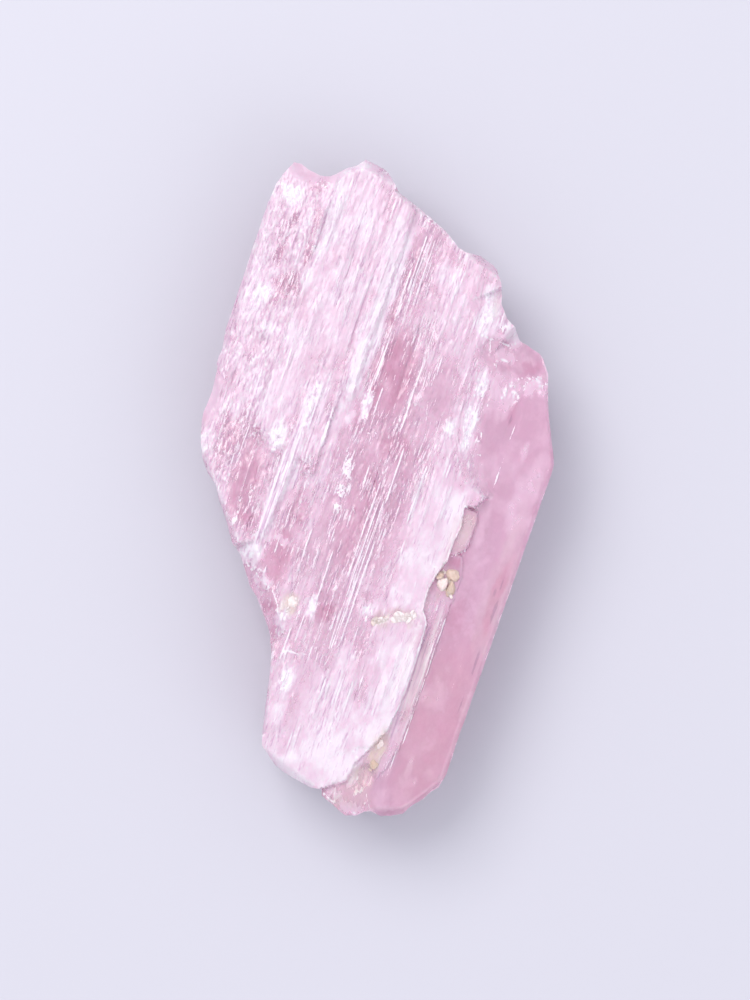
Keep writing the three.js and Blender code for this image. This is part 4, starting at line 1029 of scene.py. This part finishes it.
def kunzite_material():
    n = Nodes("kunzite")
    cloud = n.noise((2.2, 2.8, 2.2), 4, 0.62)
    flake = n.noise((0.5, 0.9, 0.5), 3, 0.65)
    strand = n.noise((0.22, 1.4, 0.6), 3)
    hair = n.noise((0.16, 4.0, 0.6), 1)
    grit = n.noise((0.18, 0.3, 0.2), 2)
    group = n.noise((1.0, 2.2, 1.0), 2)
    # Painted light and shade of the pits and fibres: lighter on the left of each bump, darker on
    # its right.
    pits = n.emboss((0.4, 0.9, 0.5), 0.16)
    fibres = n.emboss((0.3, 1.3, 0.5), 0.17)
    white, chips, fibre = n.attribute("white"), n.attribute("chips"), n.attribute("fibre")

    fine = n.math("MULTIPLY", fibre, n.sum(n.spread(strand, 0.4), n.spread(flake, 0.5)))
    milky = n.math("ADD", n.sum(white, n.spread(cloud, 1.0)), fine, clamp=True)
    deep = n.math("MULTIPLY", n.attribute("deep"), n.scale(cloud, 0.4, 1.5), clamp=True)
    clear = n.mix(deep, colour(PALE_PINK), colour(FULL_PINK))
    body = n.mix(milky, clear, colour(MILKY))
    body = n.mix(n.scale(n.step(milky, 0.7, 1.0), 0.0, 0.6), body, colour(MILKIEST))

    # Close-set hairlines: painted highlights along them and painted shade between them.
    bundle = n.math("MULTIPLY", fibre, n.step(group, 0.5, 0.62))
    bundle = n.math("MAXIMUM", n.attribute("comb"), n.math("MULTIPLY", bundle, 0.6))
    streaky = n.math("MULTIPLY", fibre, n.scale(n.step(group, 0.4, 0.62), 0.15, 1.0))
    # The painted light and shade of the relief, on the gritty places and along the fibres.
    relief = n.math("ADD", n.math("MULTIPLY", pits, n.attribute("etched")),
                    n.math("MULTIPLY", fibres, streaky))
    ragged = n.sum(n.spread(strand, 1.2), n.spread(grit, 0.7))
    # The white lines, the painted shadow beside each and the dark lines, each made ragged.
    lines, shadows, dark_lines = (
        n.math("ADD", n.attribute(name), ragged) for name in ("lines", "shadows", "dark_lines_and_shade")
    )
    # Dark lines and painted shade: on the relief's shaded side, between hairlines and beside each
    # white line.
    dark_lines_and_shade = n.sum(
        n.scale(n.step(relief, -0.03, -0.09), 0.0, 0.55),
        n.scale(n.math("MULTIPLY", bundle, n.step(hair, 0.43, 0.37)), 0.0, 0.5),
        n.scale(n.step(shadows, 0.3, 0.8), 0.0, 0.5),
        n.scale(n.step(dark_lines, 0.2, 0.8), 0.0, 0.7),
    )
    dark_lines_and_shade = n.math("ADD", dark_lines_and_shade, 0.0, clamp=True)
    broken = n.sum(n.spread(flake, 0.6), n.spread(grit, 0.5), n.math("MULTIPLY", chips, 0.25))
    # White flecks and lines, with painted highlights on the relief's lit side, on hairlines and
    # along sharp edges.
    bright = n.sum(
        n.step(broken, 0.2, 0.26),
        n.scale(n.step(relief, 0.03, 0.09), 0.0, 0.55),
        n.scale(n.math("MULTIPLY", bundle, n.step(hair, 0.56, 0.61)), 0.0, 0.8),
        n.scale(n.math("MULTIPLY", n.attribute("edge"), n.step(flake, 0.42, 0.52)), 0.0, 0.5),
    )
    bright = n.math("MAXIMUM", bright, n.step(lines, 0.3, 0.75), clamp=True)
    body = n.mix(dark_lines_and_shade, body, colour(SHADE_AND_DARK_LINE))
    body = n.mix(bright, body, colour(WHITE_AND_HIGHLIGHT))
    stain = n.math("MULTIPLY", n.attribute("stain"), n.scale(flake, 0.0, 2.0), clamp=True)
    body = n.mix(stain, body, colour(BEIGE))
    solid = n.math("MAXIMUM", n.math("MAXIMUM", milky, bright), stain, clamp=True)
    rise = n.sum(n.scale(strand, 0.0, 0.8), n.scale(flake, 0.0, 0.5), n.scale(grit, 0.0, 0.3))
    height = n.math("MULTIPLY", rise, fibre)
    bump = n.add("ShaderNodeBump", Strength=0.5, Distance=BUMP_HEIGHT, Height=height)
    shader = n.add(
        "ShaderNodeBsdfPrincipled",
        Base_Color=body,
        Roughness=n.scale(solid, 0.13, 0.5),
        IOR=SPODUMENE_IOR,
        Transmission_Weight=n.scale(solid, 0.6, 0.08),
        Subsurface_Weight=0.35,
        Subsurface_Radius=(1.0, 0.6, 0.8),
        Subsurface_Scale=0.00025,
        Normal=bump.outputs[0],
    )
    shader.subsurface_method = "RANDOM_WALK"
    absorb = n.add("ShaderNodeVolumeAbsorption", Color=THROUGH_PINK, Density=30.0)
    n.add("ShaderNodeOutputMaterial", Surface=shader.outputs[0], Volume=absorb.outputs[0])
    return n.material


def matrix_material():
    n = Nodes("matrix")
    mottle = n.noise((0.3, 0.3, 0.3), 4)
    tone = n.math("ADD", n.attribute("tone"), n.spread(mottle, 1.2), clamp=True)
    body = n.mix(tone, colour(MATRIX_OLIVE), colour(MATRIX_WHITE))
    bump = n.add("ShaderNodeBump", Strength=0.6, Distance=BUMP_HEIGHT, Height=mottle)
    shader = n.add(
        "ShaderNodeBsdfPrincipled", Base_Color=body, Roughness=0.6, Subsurface_Weight=0.4,
        Subsurface_Radius=(1.0, 0.7, 0.6), Subsurface_Scale=0.0008, Normal=bump.outputs[0],
    )
    n.add("ShaderNodeOutputMaterial", Surface=shader.outputs[0])
    return n.material


# ---------------------------------------------------------------- pieces

def blade():
    """The crystal itself, with what its material needs to know at each vertex."""
    vertices, triangles, quads = blade_arrays()
    faces = triangles.tolist() + quads.tolist()
    obj = mesh_object("kunzite_blade", vertices, faces, kunzite_material())
    x, y, z = vertices.T
    top = z > TOP_ABOVE
    masks = {
        "white": whiteness(x, y, z),
        "chips": np.where(top, chipped(x, y), 0),
        # Where a painted highlight runs along sharp convex edges.
        "edge": np.where(top, sharpness(x, y) * (0.3 + 0.7 * fibrous(x, y)), 0),
        "lines": np.where(top, white_lines(x, y), -1),
        # Where a painted shadow lies beside each white line.
        "shadows": np.where(top, fine_lines(x - SHADOW_STEP, y, STREAKS), -1),
        # Dark lines, some of them painted shade beside steps and white lines.
        "dark_lines_and_shade": np.where(top, fine_lines(x, y, DARK_STREAKS), -1),
        # Where the pits get painted light and shade.
        "etched": np.where(top, etched(x, y), 0),
        # Where hairlines get painted highlights and painted shade.
        "comb": np.where(top, patch(x, y, COMBS, 521), 0),
        "fibre": np.where(top, fibrous(x, y), 0.6),
        "deep": patch(x, y, DEEP_PINK, 501),
        "stain": np.where(top, patch(x, y, STAINS, 511), 0),
    }
    for name, values in masks.items():
        put_attribute(obj.data, name, values)
    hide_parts("kunzite_crystal")
    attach(obj, "root")


def ball(subdivisions):
    """Vertices and faces of a round ball of radius 1."""
    mesh = bmesh.new()
    bmesh.ops.create_icosphere(mesh, subdivisions=subdivisions, radius=1)
    mesh.verts.ensure_lookup_table()
    vertices = np.array([v.co[:] for v in mesh.verts])
    faces = np.array([[v.index for v in f.verts] for f in mesh.faces])
    mesh.free()
    return vertices, faces


def grain(unit, index, centre, half, turn):
    """A ball's vertices, cut to a lump with flat broken faces."""
    chance = np.random.default_rng(700 + index)
    faces = chance.normal(size=(GRAIN_FACES, 3))
    faces /= np.linalg.norm(faces, axis=1)[:, None]
    reach = np.minimum(1 / np.maximum(unit @ faces.T, 0.01).max(axis=1), 1.3)
    place = unit * 1.6 + index * 7
    uneven = 0.85 + 0.15 * rough(place[:, 0] + place[:, 2], place[:, 1] - place[:, 2], 301, 3)
    lump = unit * (reach * uneven)[:, None] * half
    angle, tilt = math.radians(turn), 0.5 * math.sin(index * 2.4)
    cos, sin = math.cos(tilt), math.sin(tilt)
    lean = np.array([[1, 0, 0], [0, cos, -sin], [0, sin, cos]])
    cos, sin = math.cos(angle), math.sin(angle)
    spin = np.array([[cos, -sin, 0], [sin, cos, 0], [0, 0, 1]])
    return lump @ (spin @ lean).T + centre


def crumbs(seam, index):
    """The crumbs of one seam, scattered along it: centre, half sizes, turn and tone of each."""
    start, end, height, count, spread, half, tone = seam
    chance = np.random.default_rng(600 + index)
    for share in (np.arange(count) + 0.5) / count:
        aside, up = spread * chance.uniform(-1, 1), 0.05 * chance.uniform(-1, 1)
        x = start[0] + (end[0] - start[0]) * share + aside * 0.6
        y = start[1] + (end[1] - start[1]) * share + aside * 0.8
        size = half * chance.uniform(0.5, 1.2, 3) * (1, 1, 0.45)
        yield (x, y, height + up), size, chance.uniform(0, 180), tone + chance.uniform(-0.25, 0.25)


def grains():
    """The lumps of cream matrix, one joined mesh."""
    places = list(GRAINS)
    for index, seam in enumerate(SEAMS):
        places += crumbs(seam, index)
    vertices, triangles, tones = [], [], []
    total = 0
    for index, (centre, half, turn, tone) in enumerate(places):
        unit, faces = ball(4 if index < len(GRAINS) else 3)
        vertices.append(grain(unit, index, centre, half, turn))
        triangles.append(faces + total)
        tones += [tone] * len(unit)
        total += len(unit)
    joined = np.concatenate(triangles).tolist()
    obj = mesh_object("matrix_grains", np.concatenate(vertices), joined, matrix_material())
    put_attribute(obj.data, "tone", tones)
    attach(obj, "root")


# ---------------------------------------------------------------- floor, light and camera

FRAME_HEIGHT = 95 * MM  # what the image's height covers at the crystal's upper face
CAMERA_ABOVE = 300 * MM
FOCUS_HEIGHT = 8 * MM
ROLL = math.radians(19)  # the striations lean this far to the right in the image
AIM = (1.893, -0.684)  # the plan place in the middle of the image
SENSOR = 36.0


def camera():
    data = bpy.data.cameras.new("camera")
    data.sensor_width = SENSOR
    data.lens = SENSOR * (CAMERA_ABOVE - FOCUS_HEIGHT) / FRAME_HEIGHT
    data.clip_start = 0.01
    obj = new_object("camera", data)
    obj.location = ((AIM[0] - PLAN_CENTRE[0]) * MM, (AIM[1] - PLAN_CENTRE[1]) * MM, CAMERA_ABOVE)
    obj.rotation_euler = (0, 0, ROLL)
    bpy.context.scene.camera = obj


def floor():
    n = Nodes("floor")
    shader = n.add("ShaderNodeBsdfPrincipled", Base_Color=colour(FLOOR_GREY), Roughness=0.8)
    n.add("ShaderNodeOutputMaterial", Surface=shader.outputs[0])
    mesh = bpy.data.meshes.new("floor")
    half, drop = 0.9, -0.05 * MM
    corners = [(-half, -half, drop), (half, -half, drop), (half, half, drop), (-half, half, drop)]
    mesh.from_pydata(corners, [], [(0, 1, 2, 3)])
    mesh.materials.append(n.material)
    obj = new_object("floor", mesh)


def area_light(name, place, size, power, tint):
    data = bpy.data.lights.new(name, "AREA")
    data.shape = "SQUARE"
    data.size = size
    data.energy = power
    data.color = tint
    obj = new_object(name, data)
    obj.location = place
    obj.rotation_euler = (-Vector(place)).to_track_quat("-Z", "Y").to_euler()


def lights():
    area_light("key", (-0.30, 0.20, 0.46), 0.36, 2.3, (1.0, 0.985, 0.97))
    area_light("fill", (0.45, -0.25, 0.40), 0.5, 1.0, (0.95, 0.97, 1.0))
    world = bpy.data.worlds.new("studio")
    world.use_nodes = True
    background = world.node_tree.nodes["Background"]
    background.inputs["Color"].default_value = (0.93, 0.95, 1.0, 1.0)
    background.inputs["Strength"].default_value = 1.08
    bpy.context.scene.world = world


camera()
lights()
floor()
blade()
grains()

scene = bpy.context.scene
scene.view_settings.view_transform = "Standard"
scene.view_settings.look = "None"
